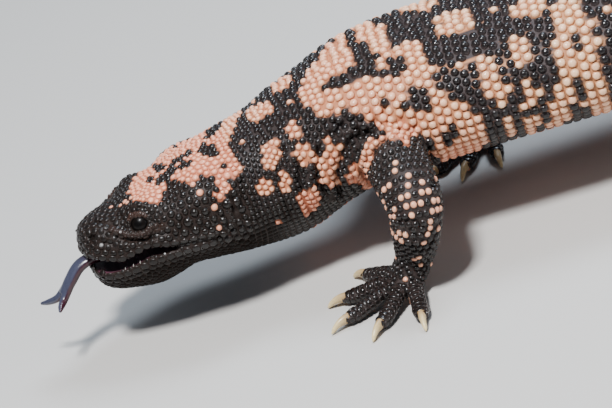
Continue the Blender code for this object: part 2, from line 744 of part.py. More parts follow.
for old in list(bpy.data.objects):
    bpy.data.objects.remove(old)
PARTS = bpy.data.collections.new("gila_monster")
TOOLS = bpy.data.collections.new("cutters")
bpy.context.scene.collection.children.link(PARTS)
bpy.context.scene.collection.children.link(TOOLS)
STAND = bpy.data.objects.new("gila_monster", None)
PARTS.objects.link(STAND)
make_lengths()
make_head()
make_tongue()
make_legs()
centre_on_origin()
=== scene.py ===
"""The looks of a life-size Gila monster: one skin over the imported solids, and thousands of beads on the skin.

Sizes are in millimetres in the solids' own directions, and become metres in the frame when a mesh is made.
The head points to -X, the left side is at -Y, and the floor is at Z = 0.
"""

import math
from itertools import product

import bmesh
import bpy
import numpy as np
from mathutils import Matrix, Vector, noise
from mathutils.bvhtree import BVHTree
from mathutils.kdtree import KDTree


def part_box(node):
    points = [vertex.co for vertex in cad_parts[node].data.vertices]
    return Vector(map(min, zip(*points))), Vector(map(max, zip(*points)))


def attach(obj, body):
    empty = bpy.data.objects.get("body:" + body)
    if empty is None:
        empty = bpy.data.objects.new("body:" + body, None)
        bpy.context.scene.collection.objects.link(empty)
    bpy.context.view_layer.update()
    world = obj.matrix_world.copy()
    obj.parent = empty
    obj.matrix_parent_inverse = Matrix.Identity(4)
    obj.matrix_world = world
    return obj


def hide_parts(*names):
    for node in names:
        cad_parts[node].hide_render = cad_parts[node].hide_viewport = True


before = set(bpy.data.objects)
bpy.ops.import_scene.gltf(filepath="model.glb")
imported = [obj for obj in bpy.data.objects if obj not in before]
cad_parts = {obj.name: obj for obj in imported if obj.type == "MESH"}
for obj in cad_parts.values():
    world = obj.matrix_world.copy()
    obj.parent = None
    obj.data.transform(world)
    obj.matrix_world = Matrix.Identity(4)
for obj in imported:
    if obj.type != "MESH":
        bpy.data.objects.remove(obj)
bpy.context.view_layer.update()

MM = 0.001

# The photograph's view: how it looks down and is rolled, its scale, its distance and the point at its centre.
VIEW_DOWN = math.radians(26)
VIEW_ROLL = math.radians(20)
PIXELS_PER_MM = 2.9
VIEW_DISTANCE = 1500.0
VIEW_TARGET = np.array((-17.2, 0.0, 20.4))
PHOTO_SIZE = (612, 408)
SENSOR_WIDTH = 36.0

# The nape is where the neck meets the head. The head is straight in front of it.
NAPE = np.array((-35.0, -2.5, 39.0))
HEAD_YAW = math.radians(8)
HEAD_ROLL = math.radians(5)
ROLL_ENDS_AT_X = 5.0

# Head sections: forward of the nape, half width, top, bottom, level of the widest place, squareness on top.
HEAD = (
    (60.1, 3.6, -0.2, -2.6, -1.4, 2.0),
    (59.5, 6.4, 3.0, -6.0, -1.8, 2.1),
    (58.9, 8.0, 4.9, -9.6, -2.2, 2.2),
    (58.0, 9.6, 6.6, -13.2, -2.6, 2.3),
    (56.2, 11.3, 7.9, -16.0, -3.0, 2.4),
    (53.4, 12.9, 8.8, -18.0, -3.2, 2.6),
    (48.2, 15.4, 9.6, -19.8, -3.4, 2.7),
    (43.2, 17.5, 10.4, -21.0, -3.4, 2.7),
    (38.2, 19.5, 12.6, -21.6, -3.2, 2.7),
    (32.6, 21.2, 14.1, -20.8, -3.0, 2.7),
    (26.0, 23.0, 14.8, -19.2, -3.0, 2.6),
    (17.6, 25.0, 17.4, -20.4, -2.6, 2.5),
    (9.0, 25.8, 17.6, -22.2, -2.0, 2.4),
    (0.0, 25.2, 19.4, -24.2, -1.6, 2.3),
)
# Body sections: place of the spine, half width, top, bottom, level of the widest place, squareness on top.
BODY = (
    (-22.0, -0.9, 39.6, 25.4, 20.8, -26.0, -1.3, 2.3),
    (-10.0, -0.1, 42.0, 26.8, 22.2, -24.4, -0.6, 2.3),
    (0.0, 0.0, 44.0, 29.0, 22.8, -23.2, -0.4, 2.3),
    (12.0, -0.2, 46.4, 32.4, 24.2, -23.2, 0.0, 2.3),
    (25.0, -0.6, 47.2, 35.4, 24.6, -23.6, 0.0, 2.3),
    (40.0, -1.2, 47.2, 37.4, 24.2, -22.8, 0.0, 2.3),
    (65.0, -2.8, 46.6, 38.8, 25.0, -22.2, -0.4, 2.3),
    (93.0, -4.6, 46.0, 39.4, 25.6, -22.6, -0.8, 2.3),
    (120.0, -5.2, 45.0, 39.0, 25.6, -22.2, -1.0, 2.3),
    (150.0, -4.0, 43.6, 36.8, 24.8, -21.4, -1.0, 2.3),
    (175.0, -0.8, 42.2, 32.4, 23.4, -20.2, -0.8, 2.2),
    (195.0, 2.8, 40.0, 27.0, 21.4, -18.4, -0.6, 2.1),
    (212.0, 7.4, 36.2, 22.0, 18.8, -17.2, -0.4, 2.0),
    (232.0, 14.2, 29.6, 19.2, 17.4, -16.6, 0.0, 2.0),
    (255.0, 22.4, 22.6, 18.8, 17.4, -17.0, 0.0, 2.0),
    (278.0, 30.0, 18.0, 18.0, 16.8, -17.6, 0.0, 2.0),
    (300.0, 35.6, 15.5, 16.0, 15.0, -15.9, 0.0, 2.0),
    (322.0, 38.8, 12.2, 12.6, 11.8, -12.6, 0.0, 2.0),
    (340.0, 39.2, 8.7, 8.8, 8.2, -9.1, 0.0, 2.0),
    (351.0, 38.4, 6.2, 5.4, 5.2, -6.4, 0.0, 2.0),
    (355.0, 38.0, 5.2, 2.4, 2.4, -2.6, 0.0, 2.0),
)
BELLY_SQUARENESS = 2.1

# The lips, as levels at places forward of the nape. They part in the middle of the mouth.
UPPER_LIP = (
    (10, -7.0), (20, -6.2), (30, -5.6), (35, -3.9), (40, -2.6),
    (45, -3.8), (50, -5.1), (54, -3.6), (58, -1.9), (70, -1.9),
)
LOWER_LIP = (
    (10, -7.4), (20, -6.6), (30, -6.4), (35, -6.6), (40, -6.4),
    (45, -7.8), (50, -8.5), (54, -8.7), (58, -7.6), (70, -7.2),
)
JAW_HINGE = 12.0
LIP_WIDTH = 5.0
LIP_SWELL = 0.6
LIP_REACH = 1.5
MOUTH_HOLLOW = 2.2
MOUTH_LEDGE = 1.5
MOUTH_HALF_WIDTH = 2.0
MOUTH_FRONT = 58.8
JAW_ROOM = 34.0

# Swellings and hollows of the head: forward of the nape, distance to the side, level, reach, height.
HEAD_FORMS = {
    "brow": (36.8, 13.5, 12.0, 4.6, 1.7),
    "socket": (39.9, 17.5, 5.0, 5.5, -1.3),
    "fold under the eye": (36.5, 19.5, -0.4, 3.2, 0.7),
    "temple": (17.0, 21.0, 9.0, 9.0, 1.2),
    "cheek": (20.0, 25.0, -2.0, 9.0, 1.0),
    "groove behind the brow": (28.0, 15.0, 13.0, 4.0, -0.8),
    "snout side": (50.5, 12.0, 3.0, 4.0, -0.6),
}

EYE_FORWARD = 39.9
EYE_LEVEL = 5.8
EYE_RADIUS = 3.7
EYE_DEPTH = 2.3
SOCKET_ROOM = 0.12
LID_RADIUS = 3.5
LID_THICKNESS = 1.0
# The lids' opening is longer and lower than round, and the upper lid is thicker and stands out further.
LID_LONG = 0.15
LID_LOW = 0.35
LOWER_LID = 0.85
UPPER_LID = 0.35
LID_SUNK = 0.15
LID_JUTS = 0.2
NOSTRIL_FORWARD = 56.4
NOSTRIL_LEVEL = 5.4
NOSTRIL_RADIUS = 1.2
NOSTRIL_LONG = 1.6
NOSTRIL_HIGH = 1.25
NOSTRIL_DEPTH = 2.8
EAR_FORWARD = 9.0
EAR_LEVEL = 2.4
EAR_HEIGHT = 4.8
EAR_WIDTH = 1.1
EAR_DEPTH = 2.6

# Each leg's path from the hip or shoulder to the front of the palm: place, half width, half depth.
LEGS = {
    "left_fore": (
        (16.0, -18.0, 43.0, 12.4, 12.2),
        (16.0, -33.0, 41.8, 11.6, 11.2),
        (16.6, -45.6, 38.0, 10.3, 10.2),
        (16.4, -54.2, 31.2, 9.4, 9.2),
        (14.0, -53.4, 22.4, 8.3, 8.0),
        (11.4, -48.8, 13.4, 6.9, 6.5),
        (7.8, -48.6, 7.4, 7.8, 5.2),
        (2.4, -50.4, 4.9, 8.2, 4.2),
        (-1.6, -51.8, 4.1, 6.4, 3.0),
    ),
    "right_fore": (
        (17.0, 18.0, 43.0, 12.4, 12.2),
        (19.5, 32.5, 41.6, 11.6, 11.2),
        (25.0, 44.5, 38.0, 10.2, 10.0),
        (32.6, 51.6, 31.2, 9.2, 9.0),
        (40.6, 51.4, 22.6, 8.3, 8.0),
        (49.0, 47.2, 13.4, 7.0, 6.6),
        (49.6, 43.0, 7.6, 7.8, 5.2),
        (45.6, 38.6, 4.9, 8.2, 4.2),
        (42.6, 35.8, 4.1, 6.4, 3.0),
    ),
    "left_hind": (
        (191.0, -12.0, 38.8, 14.0, 13.0),
        (187.0, -28.0, 38.2, 13.2, 12.2),
        (180.0, -43.0, 36.2, 11.4, 11.0),
        (178.6, -52.6, 31.4, 10.0, 9.6),
        (185.4, -58.0, 23.6, 8.8, 8.4),
        (192.6, -60.4, 14.0, 7.4, 6.8),
        (190.4, -63.2, 7.6, 8.2, 5.2),
        (185.0, -67.4, 4.9, 8.8, 4.2),
        (181.2, -70.4, 4.1, 7.0, 3.0),
    ),
    "right_hind": (
        (190.0, 18.0, 38.8, 14.0, 13.0),
        (184.0, 31.0, 38.4, 13.2, 12.2),
        (172.0, 43.0, 36.8, 11.4, 11.0),
        (164.8, 51.0, 32.4, 10.0, 9.6),
        (168.0, 57.6, 24.0, 8.8, 8.4),
        (174.0, 61.2, 14.0, 7.4, 6.8),
        (171.8, 63.0, 7.6, 8.2, 5.2),
        (165.4, 66.0, 4.9, 8.8, 4.2),
        (161.0, 68.2, 4.1, 7.0, 3.0),
    ),
}
BEND_SPREAD = 8.0

# Toes: the way each points, in degrees outward of -X, and its length from the palm to the claw.
TOE_WAYS = {
    "left_fore": (-52, -14, 19, 52, 86),
    "right_fore": (-88, -62, -38, -14, 12),
    "left_hind": (-6, 18, 38, 62, 96),
    "right_hind": (-20, 6, 26, 50, 84),
}
FORE_TOE_LENGTHS = (15.5, 19.0, 21.0, 20.5, 18.0)
HIND_TOE_LENGTHS = (15.5, 19.5, 22.0, 22.5, 18.5)
TOE_SPREAD = 3.2
TOE_SETBACK = 1.6
# Toe stations: share of the length, height of the middle, half width, half depth.
TOE_STATIONS = (
    (0.0, 4.2, 3.1, 2.9),
    (0.3, 4.7, 2.9, 2.8),
    (0.6, 3.5, 2.8, 2.7),
    (0.85, 2.6, 2.8, 2.7),
    (1.0, 2.6, 2.2, 2.1),
)
CLAW_LENGTH = 7.0
CLAW_ROOT = 1.8
CLAW_TIP = 0.7

# The tongue and the prongs of its fork: forward of the nape, side, level, half width, half thickness.
TONGUE_STEM = (
    (46.0, 0.0, -6.6, 2.6, 1.2),
    (54.0, 0.0, -5.5, 2.9, 1.6),
    (59.0, 0.0, -4.7, 3.1, 2.0),
    (62.8, 0.0, -5.6, 3.2, 2.1),
    (67.2, 0.0, -9.0, 3.2, 2.1),
    (71.2, 0.0, -12.8, 2.9, 1.8),
)
TONGUE_PRONG = (
    (69.4, 1.2, -11.1, 1.7, 1.5),
    (72.8, 2.2, -14.0, 1.5, 1.4),
    (75.4, 4.6, -15.0, 1.1, 1.1),
    (77.2, 7.2, -15.4, 0.6, 0.55),
)
# The fork is turned a little, so that the right prong reaches further by this share of its side.
FORK_TURN = 0.28

# How deep the skin lies under the solids, which the beads fill again.
COAT_DEPTH = {"head": 0.45, "body": 0.9, "leg": 0.6, "toe": 0.35}
SKIN_VOXEL = 0.6
SKIN_TRIANGLES = 180000

# Beads: points round each one, and its profile as share of the radius, share of the height, and roundness.
BEAD_POINTS = 10
BEAD_PROFILE = (
    (1.00, -0.22, 0.0),
    (0.975, 0.12, 0.0),
    (0.90, 0.42, 0.5),
    (0.75, 0.74, 1.0),
    (0.52, 0.93, 1.0),
    (0.26, 0.99, 1.0),
)
BEAD_GAP = 0.14
# The largest and smallest radius of a bead as shares of its spacing, and how sharp its corners are.
BEAD_MOST = 0.66
BEAD_LEAST = 0.22
CORNER_POWER = 7.0
# How much of the bake map one bead takes up.
BAKE_PATCH = 0.003


def curve_values(rows, knots, places):
    """Smooth values between the rows of a table, on a cubic curve through them."""
    rows = np.asarray(rows, float)
    knots = np.asarray(knots, float)
    places = np.atleast_1d(np.asarray(places, float))
    slopes = np.gradient(rows, knots, axis=0)
    index = np.clip(np.searchsorted(knots, places) - 1, 0, len(knots) - 2)
    span = (knots[index + 1] - knots[index])[:, None]
    u = (places - knots[index])[:, None] / span
    return (
        (2 * u**3 - 3 * u**2 + 1) * rows[index]
        + (u**3 - 2 * u**2 + u) * span * slopes[index]
        + (3 * u**2 - 2 * u**3) * rows[index + 1]
        + (u**3 - u**2) * span * slopes[index + 1]
    )


def lengths_along(points):
    """The length of a path from its start to each of its points."""
    steps = np.linalg.norm(np.diff(points, axis=0), axis=1)
    return np.concatenate(((0.0,), np.cumsum(steps)))


def smooth_step(value, low, high):
    """Rises softly from 0 at the low value to 1 at the high one."""
    u = np.clip((value - low) / (high - low), 0.0, 1.0)
    return u * u * (3 - 2 * u)


def unit(vectors):
    """Vectors of length 1 with the same ways."""
    return vectors / np.maximum(np.linalg.norm(vectors, axis=-1, keepdims=True), 1e-9)


def axis_rows():
    """All sections from snout to tail tip as place, half width, top, bottom, widest level and squareness."""
    head_forward = np.array((-math.cos(HEAD_YAW), -math.sin(HEAD_YAW), 0.0))
    head = [(*(NAPE + forward * head_forward), *sizes) for forward, *sizes in HEAD]
    return np.array(head + list(BODY))


AXIS = axis_rows()
AXIS_KNOTS = lengths_along(AXIS[:, :3])
NAPE_PLACE = AXIS_KNOTS[len(HEAD) - 1]
TAIL_END = AXIS_KNOTS[-1]
FINE_STEP = 0.25
FINE = np.arange(0.0, TAIL_END + FINE_STEP, FINE_STEP)


def fine_tables():
    """The spine's points, left and up directions, and section sizes at short steps."""
    middles = curve_values(AXIS[:, :3], AXIS_KNOTS, FINE)
    ahead = curve_values(AXIS[:, :3], AXIS_KNOTS, FINE + 0.5)
    behind = curve_values(AXIS[:, :3], AXIS_KNOTS, FINE - 0.5)
    back = unit(ahead - behind)
    left = unit(np.cross(back, (0.0, 0.0, 1.0)))
    up = np.cross(left, back)
    roll_end = np.interp(ROLL_ENDS_AT_X, middles[:, 0], FINE)
    roll = (HEAD_ROLL * (1 - smooth_step(FINE, NAPE_PLACE, roll_end)))[:, None]
    sizes = curve_values(AXIS[:, 3:], AXIS_KNOTS, FINE)
    return middles, left * np.cos(roll) + up * np.sin(roll), up * np.cos(roll) - left * np.sin(roll), sizes


MIDDLES, LEFTS, UPS, SIZES = fine_tables()


def read_table(table, places):
    """Values of a fine table at places along the spine."""
    position = np.clip(np.asarray(places, float) / FINE_STEP, 0, len(table) - 1.001)
    index = position.astype(int)
    share = (position - index)[..., None]
    return table[index] * (1 - share) + table[index + 1] * share


def lip_level(lip, forward):
    """The level of a lip at places forward of the nape."""
    return np.interp(forward, *np.array(lip).T)


def head_swell(forward, side, level):
    """How far the head's surface stands out at a place, from its named forms and its lips."""
    swell = np.zeros_like(forward)
    for where, beside, height, reach, amount in HEAD_FORMS.values():
        away = (forward - where) ** 2 + (np.abs(side) - beside) ** 2 + (level - height) ** 2
        swell = swell + amount * np.exp(-away / reach**2)
    along = smooth_step(forward, 16.0, 26.0)
    above = level - lip_level(UPPER_LIP, forward) - LIP_REACH
    below = level - lip_level(LOWER_LIP, forward) + LIP_REACH
    lips = np.exp(-((above / LIP_REACH) ** 2)) + np.exp(-((below / LIP_REACH) ** 2))
    return swell + LIP_SWELL * along * np.minimum(lips, 1.0)


def round_angles(count):
    """Evenly spaced angles in a full turn."""
    return np.linspace(0.0, 2 * math.pi, count, endpoint=False)


def section_points(places, angles, grow=0.0):
    """Points of the body's surface at places along the spine and angles round it, from the left side up."""
    width, top, bottom, widest, square = np.moveaxis(read_table(SIZES, places), -1, 0)
    across, rising = np.cos(angles), np.sin(angles)
    power = np.where(rising > 0, square, BELLY_SQUARENESS)
    height = np.where(rising > 0, top - widest, widest - bottom)
    scale = (np.abs(across) ** power + np.abs(rising) ** power) ** (-1 / power)
    side, level = width * across * scale, height * rising * scale
    slope_side = np.copysign(np.abs(across * scale) ** (power - 1) / width, across)
    slope_up = np.copysign(np.abs(rising * scale) ** (power - 1) / height, rising)
    slope = np.hypot(slope_side, slope_up)
    forward = NAPE_PLACE - places
    swell = np.where(forward > 0, head_swell(forward, side, level + widest), 0.0)
    out = grow + swell
    side = side + out * slope_side / slope
    level = level + widest + out * slope_up / slope
    middle, left, up = (read_table(table, places) for table in (MIDDLES, LEFTS, UPS))
    return middle + side[..., None] * left + level[..., None] * up


def in_head(forward, side, level):
    """Points given in the head's own directions, side counted to the animal's left."""
    places = NAPE_PLACE - np.asarray(forward, float)
    middle, left, up = (read_table(table, places) for table in (MIDDLES, LEFTS, UPS))
    # In front of the first section the spine goes straight on.
    beyond = np.minimum(places, 0.0)[..., None] * unit(MIDDLES[4] - MIDDLES[0])
    side, level = (np.asarray(value, float)[..., None] for value in (side, level))
    return middle + beyond + side * left + level * up


def head_side(forward, level):
    """How far from the middle the head's side lies at a level."""
    width, top, bottom, widest, square = read_table(SIZES, NAPE_PLACE - forward)
    power = square if level > widest else BELLY_SQUARENESS
    height = top - widest if level > widest else widest - bottom
    side = width * max(0.0, 1 - abs((level - widest) / height) ** power) ** (1 / power)
    return side + float(head_swell(np.array(forward), np.array(side), np.array(level)))


# How far apart the points lie that tell the slope of the head's side.
SLOPE_STEP = 1.5


def head_surface(forward, level, hand):
    """A point on the head's side with the way out of it. The hand is 1 on the left and -1 on the right."""
    here = in_head(forward, hand * head_side(forward, level), level)
    further, higher = forward + SLOPE_STEP, level + SLOPE_STEP
    ahead = in_head(further, hand * head_side(further, level), level)
    above = in_head(forward, hand * head_side(forward, higher), higher)
    out = unit(np.cross(ahead - here, above - here))
    outward = in_head(forward, hand * 10.0, level) - in_head(forward, 0.0, level)
    return here, out if out @ outward > 0 else -out


def eye_centre(hand):
    """The middle of an eyeball and the way that the eye looks."""
    place, out = head_surface(EYE_FORWARD, EYE_LEVEL, hand)
    return place - EYE_DEPTH * out, out


def frame_shift():
    """From the solids' millimetres to the frame's, found from the left eye."""
    low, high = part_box("eye_left")
    middle = np.array((Vector(low) + Vector(high)) / 2) / MM
    return middle - eye_centre(1)[0]


SHIFT = frame_shift()


def new_mesh(name, points, faces):
    """A mesh from points in millimetres and arrays of faces, each array of one count of corners."""
    mesh = bpy.data.meshes.new(name)
    mesh.vertices.add(len(points))
    mesh.vertices.foreach_set("co", ((np.asarray(points) + SHIFT) * MM).astype(np.float32).ravel())
    corners = np.concatenate([np.asarray(block).ravel() for block in faces])
    counts = np.concatenate([np.full(len(block), len(block[0])) for block in faces])
    mesh.loops.add(len(corners))
    mesh.loops.foreach_set("vertex_index", corners.astype(np.int32))
    mesh.polygons.add(len(counts))
    starts = np.concatenate(((0,), np.cumsum(counts)[:-1]))
    mesh.polygons.foreach_set("loop_start", starts.astype(np.int32))
    mesh.update(calc_edges=True)
    mesh.validate()
    mesh.shade_smooth()
    return mesh


def new_piece(name, data):
    """Puts a mesh, lamp or camera into the scene under a name."""
    piece = bpy.data.objects.new(name, data)
    bpy.context.scene.collection.objects.link(piece)
    return piece


def ring_squares(rows, count, closed=False):
    """Squares between rings of equal count. A closed row of rings also joins its last ring to its first."""
    row, number = np.meshgrid(np.arange(rows if closed else rows - 1), np.arange(count), indexing="ij")
    here, after = row * count, (row + 1) % rows * count
    beside = (number + 1) % count
    return np.stack((here + number, here + beside, after + beside, after + number), axis=-1).reshape(-1, 4)


def loft(name, rings, closed=False):
    """A mesh through rings of points, with two end caps unless the last ring joins the first."""
    rings = np.array(rings)
    rows, count = rings.shape[:2]
    faces = [ring_squares(rows, count, closed)]
    if not closed:
        faces.append(np.array((np.arange(count)[::-1], np.arange(count) + (rows - 1) * count)))
    return new_piece(name, new_mesh(name, rings.reshape(-1, 3), faces))


def modify(piece, kind, **settings):
    """Puts a modifier on a piece and makes its result the piece's own mesh."""
    modifier = piece.modifiers.new(kind, kind)
    for name, value in settings.items():
        setattr(modifier, name, value)
    graph = bpy.context.evaluated_depsgraph_get()
    mesh = bpy.data.meshes.new_from_object(piece.evaluated_get(graph))
    piece.modifiers.clear()
    piece.data = mesh


def join_pieces(name, pieces):
    """Joins meshes into one object without fusing them, and turns their faces outward."""
    body = bmesh.new()
    for piece in pieces:
        body.from_mesh(piece.data)
    bmesh.ops.recalc_face_normals(body, faces=body.faces)
    mesh = bpy.data.meshes.new(name)
    body.to_mesh(mesh)
    body.free()
    for piece in pieces:
        bpy.data.objects.remove(piece)
    return new_piece(name, mesh)


def ball(name, centre, radii, turn, rings=24, around=40):
    """A ball or a long ball, whose own Z points along the third column of the turn."""
    rise = np.linspace(-math.pi / 2, math.pi / 2, rings)[1:-1]
    rise, turns = np.meshgrid(rise, round_angles(around), indexing="ij")
    local = np.stack((np.cos(rise) * np.cos(turns), np.cos(rise) * np.sin(turns), np.sin(rise)), axis=-1)
    return loft(name, (local * radii) @ turn.T + centre)


def turn_towards(out, upward=(0.0, 0.0, 1.0)):
    """Columns across, up and out, for a piece that lies on a surface."""
    across = unit(np.cross(upward, out))
    rising = np.cross(out, across)
    return np.stack((across, rising, out), axis=1)


def between_rows(places, knots, rows):
    """Points on straight lines between the rows of a table."""
    return np.stack([np.interp(places, knots, rows[:, axis]) for axis in range(3)], axis=-1)


LEG_STEPS = 120


def leg_rings(path, around, step, grow):
    """Oval rings along a leg. Its flat side is kept from the palm upward."""
    rows = np.array(path)
    knots = lengths_along(rows[:, :3])
    fine = np.linspace(0.0, knots[-1], LEG_STEPS)
    points = curve_values(rows[:, :3], knots, fine)
    after, before = (np.clip(fine + away, 0.0, knots[-1]) for away in (BEND_SPREAD, -BEND_SPREAD))
    ways = unit(curve_values(rows[:, :3], knots, after) - curve_values(rows[:, :3], knots, before))
    across = np.cross((0.0, 0.0, 1.0), ways[-1])
    sides = np.zeros_like(ways)
    for number in range(len(fine) - 1, -1, -1):
        across = unit(across - (across @ ways[number]) * ways[number])
        sides[number] = across
    places = np.linspace(0.0, knots[-1], max(2, round(knots[-1] / step)) + 1)
    angles = round_angles(around)[:, None]
    across_share, thick_share = np.cos(angles), np.sin(angles)
    rings = []
    for place in places:
        middle, way, side = (between_rows(place, fine, table) for table in (points, ways, sides))
        way = unit(way)
        side = unit(side - (side @ way) * way)
        thick = np.cross(way, side)
        width, depth = curve_values(rows[:, 3:], knots, place)[0] + grow
        rings.append(middle + width * across_share * side + depth * thick_share * thick)
    return places, np.array(rings)


def toe_layout(name):
    """The root, direction and length of each toe of a foot."""
    hand = 1 if name.startswith("left") else -1
    path = LEGS[name]
    heading = unit(np.array(path[-1][:2]) - np.array(path[-3][:2]))
    outward = hand * np.array((-heading[1], heading[0]))
    palm = np.array(path[-2][:2])
    lengths = FORE_TOE_LENGTHS if name.endswith("fore") else HIND_TOE_LENGTHS
    toes = []
    for number, (degrees, length) in enumerate(zip(TOE_WAYS[name], lengths)):
        angle = math.radians(degrees)
        way = np.array((-math.cos(angle), -hand * math.sin(angle), 0.0))
        root = palm + outward * TOE_SPREAD * (number - 2) - heading * abs(number - 2) * TOE_SETBACK
        toes.append((np.array((*root, 0.0)), way, length))
    return toes


def toe_points(toe, shares, angles, grow):
    """Points of a toe's surface. Angle 0 is beside it and a quarter turn is its top."""
    root, way, length = toe
    rows = np.array(TOE_STATIONS)
    height, width, depth = curve_values(rows[:, 1:], rows[:, 0], np.ravel(shares)).T
    across = np.array((-way[1], way[0], 0.0))
    along = np.ravel(shares) * length
    angles = np.ravel(angles)
    side = (width + grow) * np.cos(angles)
    level = height + (depth + grow) * np.sin(angles)
    return root + along[:, None] * way + side[:, None] * across + level[:, None] * np.array((0.0, 0.0, 1.0))


def toe_loft(toe, grow):
    """A toe as a closed mesh, from inside the palm to its rounded end."""
    shares = np.linspace(-0.05, 1.0, 28)
    angles = round_angles(24)
    rings = [toe_points(toe, share, angles, grow) for share in shares]
    # The toe's end is rounded by two shrinking rings.
    middle = rings[-1].mean(axis=0)
    for reach, size in ((0.7, 0.8), (1.2, 0.45)):
        rings.append(middle + (rings[-1 if size > 0.5 else -2] - middle) * size + toe[1] * reach)
    return loft("toe", rings)


def mouth_hollow(forward):
    """How much higher and lower the mouth is behind the lips than between them."""
    return MOUTH_HOLLOW * smooth_step(forward, 20.0, 34.0) * (1 - smooth_step(forward, 51.0, 56.0))


def mouth_cutter():
    """The space between the lips, wider inside than at the lips."""
    rings = []
    for forward in np.arange(64.0, JAW_HINGE, -1.5):
        upper = float(lip_level(UPPER_LIP, forward))
        lower = float(lip_level(LOWER_LIP, forward))
        width = read_table(SIZES, NAPE_PLACE - min(forward, MOUTH_FRONT))[0]
        reach = max(MOUTH_HALF_WIDTH, width - LIP_WIDTH)
        ledge = reach + MOUTH_LEDGE
        hollow = mouth_hollow(forward)
        outline = (
            (JAW_ROOM, upper), (ledge, upper), (reach, upper + hollow), (-reach, upper + hollow),
            (-ledge, upper), (-JAW_ROOM, upper), (-JAW_ROOM, lower), (-ledge, lower),
            (-reach, lower - hollow), (reach, lower - hollow), (ledge, lower), (JAW_ROOM, lower),
        )
        rings.append([in_head(forward, side, level) for side, level in outline])
    return loft("mouth_cutter", rings)


def lid_piece(hand):
    """Upper and lower lid as one ring of changing thickness round the eye."""
    centre, out = eye_centre(hand)
    turn = turn_towards(out)
    rings = []
    for angle in round_angles(48):
        upper = max(0.0, math.sin(angle))
        radius = LID_RADIUS + LID_LONG - LID_LOW * abs(math.sin(angle))
        thickness = LID_THICKNESS * (LOWER_LID + UPPER_LID * upper)
        rim = turn[:, 0] * math.cos(angle) + turn[:, 1] * math.sin(angle)
        middle = centre + rim * radius * 1.02 + out * (EYE_DEPTH - LID_SUNK + LID_JUTS * upper)
        around = round_angles(12)[:, None]
        rings.append(middle + thickness * (np.cos(around) * rim + np.sin(around) * out))
    return loft("lid", rings, closed=True)


def fix_normals(piece):
    """Turns all faces of a piece outward."""
    body = bmesh.new()
    body.from_mesh(piece.data)
    bmesh.ops.recalc_face_normals(body, faces=body.faces)
    body.to_mesh(piece.data)
    body.free()


def body_loft(name, start, end, step, around):
    """A length of head or body, smaller by the depth of its coat."""
    places, angles = np.meshgrid(np.arange(start, end, step), round_angles(around), indexing="ij")
    share = smooth_step(places, NAPE_PLACE - 12, NAPE_PLACE + 12)
    depth = COAT_DEPTH["head"] + (COAT_DEPTH["body"] - COAT_DEPTH["head"]) * share
    return loft(name, section_points(places, angles, -depth))


def make_head_loft():
    """The head with its mouth, nostrils, ear slits and eye sockets cut in."""
    head = body_loft("head_loft", 0.0, NAPE_PLACE + 6.0, 0.7, 150)
    cutters = [mouth_cutter()]
    for hand in (1, -1):
        centre, out = eye_centre(hand)
        cutters.append(ball("socket", centre, np.full(3, EYE_RADIUS + SOCKET_ROOM), turn_towards(out)))
        place, out = head_surface(NOSTRIL_FORWARD, NOSTRIL_LEVEL, hand)
        sizes = np.array((NOSTRIL_RADIUS * NOSTRIL_LONG, NOSTRIL_RADIUS * NOSTRIL_HIGH, NOSTRIL_DEPTH))
        cutters.append(ball("nostril", place, sizes, turn_towards(out)))
        place, out = head_surface(EAR_FORWARD, EAR_LEVEL, hand)
        cutters.append(ball("ear", place, np.array((EAR_WIDTH, EAR_HEIGHT, EAR_DEPTH)), turn_towards(out)))
    fix_normals(head)
    cutter = join_pieces("cutters", cutters)
    modify(head, "BOOLEAN", operation="DIFFERENCE", solver="EXACT", object=cutter)
    bpy.data.objects.remove(cutter)
    return head


def smooth_points(points, edges, rounds, weight):
    """Moves each point towards the middle of its neighbours by its own weight, a number of times."""
    count = len(points)
    degree = np.bincount(edges.ravel(), minlength=count).astype(float)
    for _ in range(rounds):
        total = np.empty_like(points)
        for axis in range(3):
            total[:, axis] = np.bincount(edges[:, 0], points[edges[:, 1], axis], count)
            total[:, axis] += np.bincount(edges[:, 1], points[edges[:, 0], axis], count)
        points = points + weight[:, None] * (total / degree[:, None] - points)
    return points


def read_values(items, name, width, kind=float):
    """What each point, edge or corner of a mesh holds under a name, one row for each."""
    values = np.empty(len(items) * width, kind)
    items.foreach_get(name, values)
    return values.reshape(-1, width)


def mesh_points(mesh):
    """A mesh's points in millimetres."""
    return read_values(mesh.vertices, "co", 3) / MM - SHIFT


def mesh_normals(mesh):
    """The way out of a mesh at each of its points."""
    return read_values(mesh.vertices, "normal", 3)


def mesh_edges(mesh):
    """The two points of each of a mesh's edges."""
    return read_values(mesh.edges, "vertices", 2, int)


def set_points(mesh, points):
    """Moves a mesh's points to places given in millimetres."""
    mesh.vertices.foreach_set("co", ((points + SHIFT) * MM).astype(np.float32).ravel())
    mesh.update()


def view_directions():
    """The direction of view, and the picture's right and up directions."""
    view = np.array((0.0, math.cos(VIEW_DOWN), -math.sin(VIEW_DOWN)))
    level_up = np.array((0.0, math.sin(VIEW_DOWN), math.cos(VIEW_DOWN)))
    level_right = np.array((1.0, 0.0, 0.0))
    right = level_right * math.cos(VIEW_ROLL) - level_up * math.sin(VIEW_ROLL)
    up = level_right * math.sin(VIEW_ROLL) + level_up * math.cos(VIEW_ROLL)
    return view, right, up


VIEW_WAY, VIEW_RIGHT, VIEW_UP = view_directions()
VIEW_PLACE = VIEW_TARGET - VIEW_WAY * VIEW_DISTANCE


def photo_places(points):
    """Where points fall in the photograph, in pixels from its upper left corner."""
    away = points - VIEW_PLACE
    scale = PIXELS_PER_MM * VIEW_DISTANCE / (away @ VIEW_WAY)
    return PHOTO_SIZE[0] / 2 + (away @ VIEW_RIGHT) * scale, PHOTO_SIZE[1] / 2 - (away @ VIEW_UP) * scale


# Where the skin is smoothed across joints: the row of a leg's path, and the reach round it.
SMOOTHED_JOINTS = {1: 19.0, 7: 9.0}
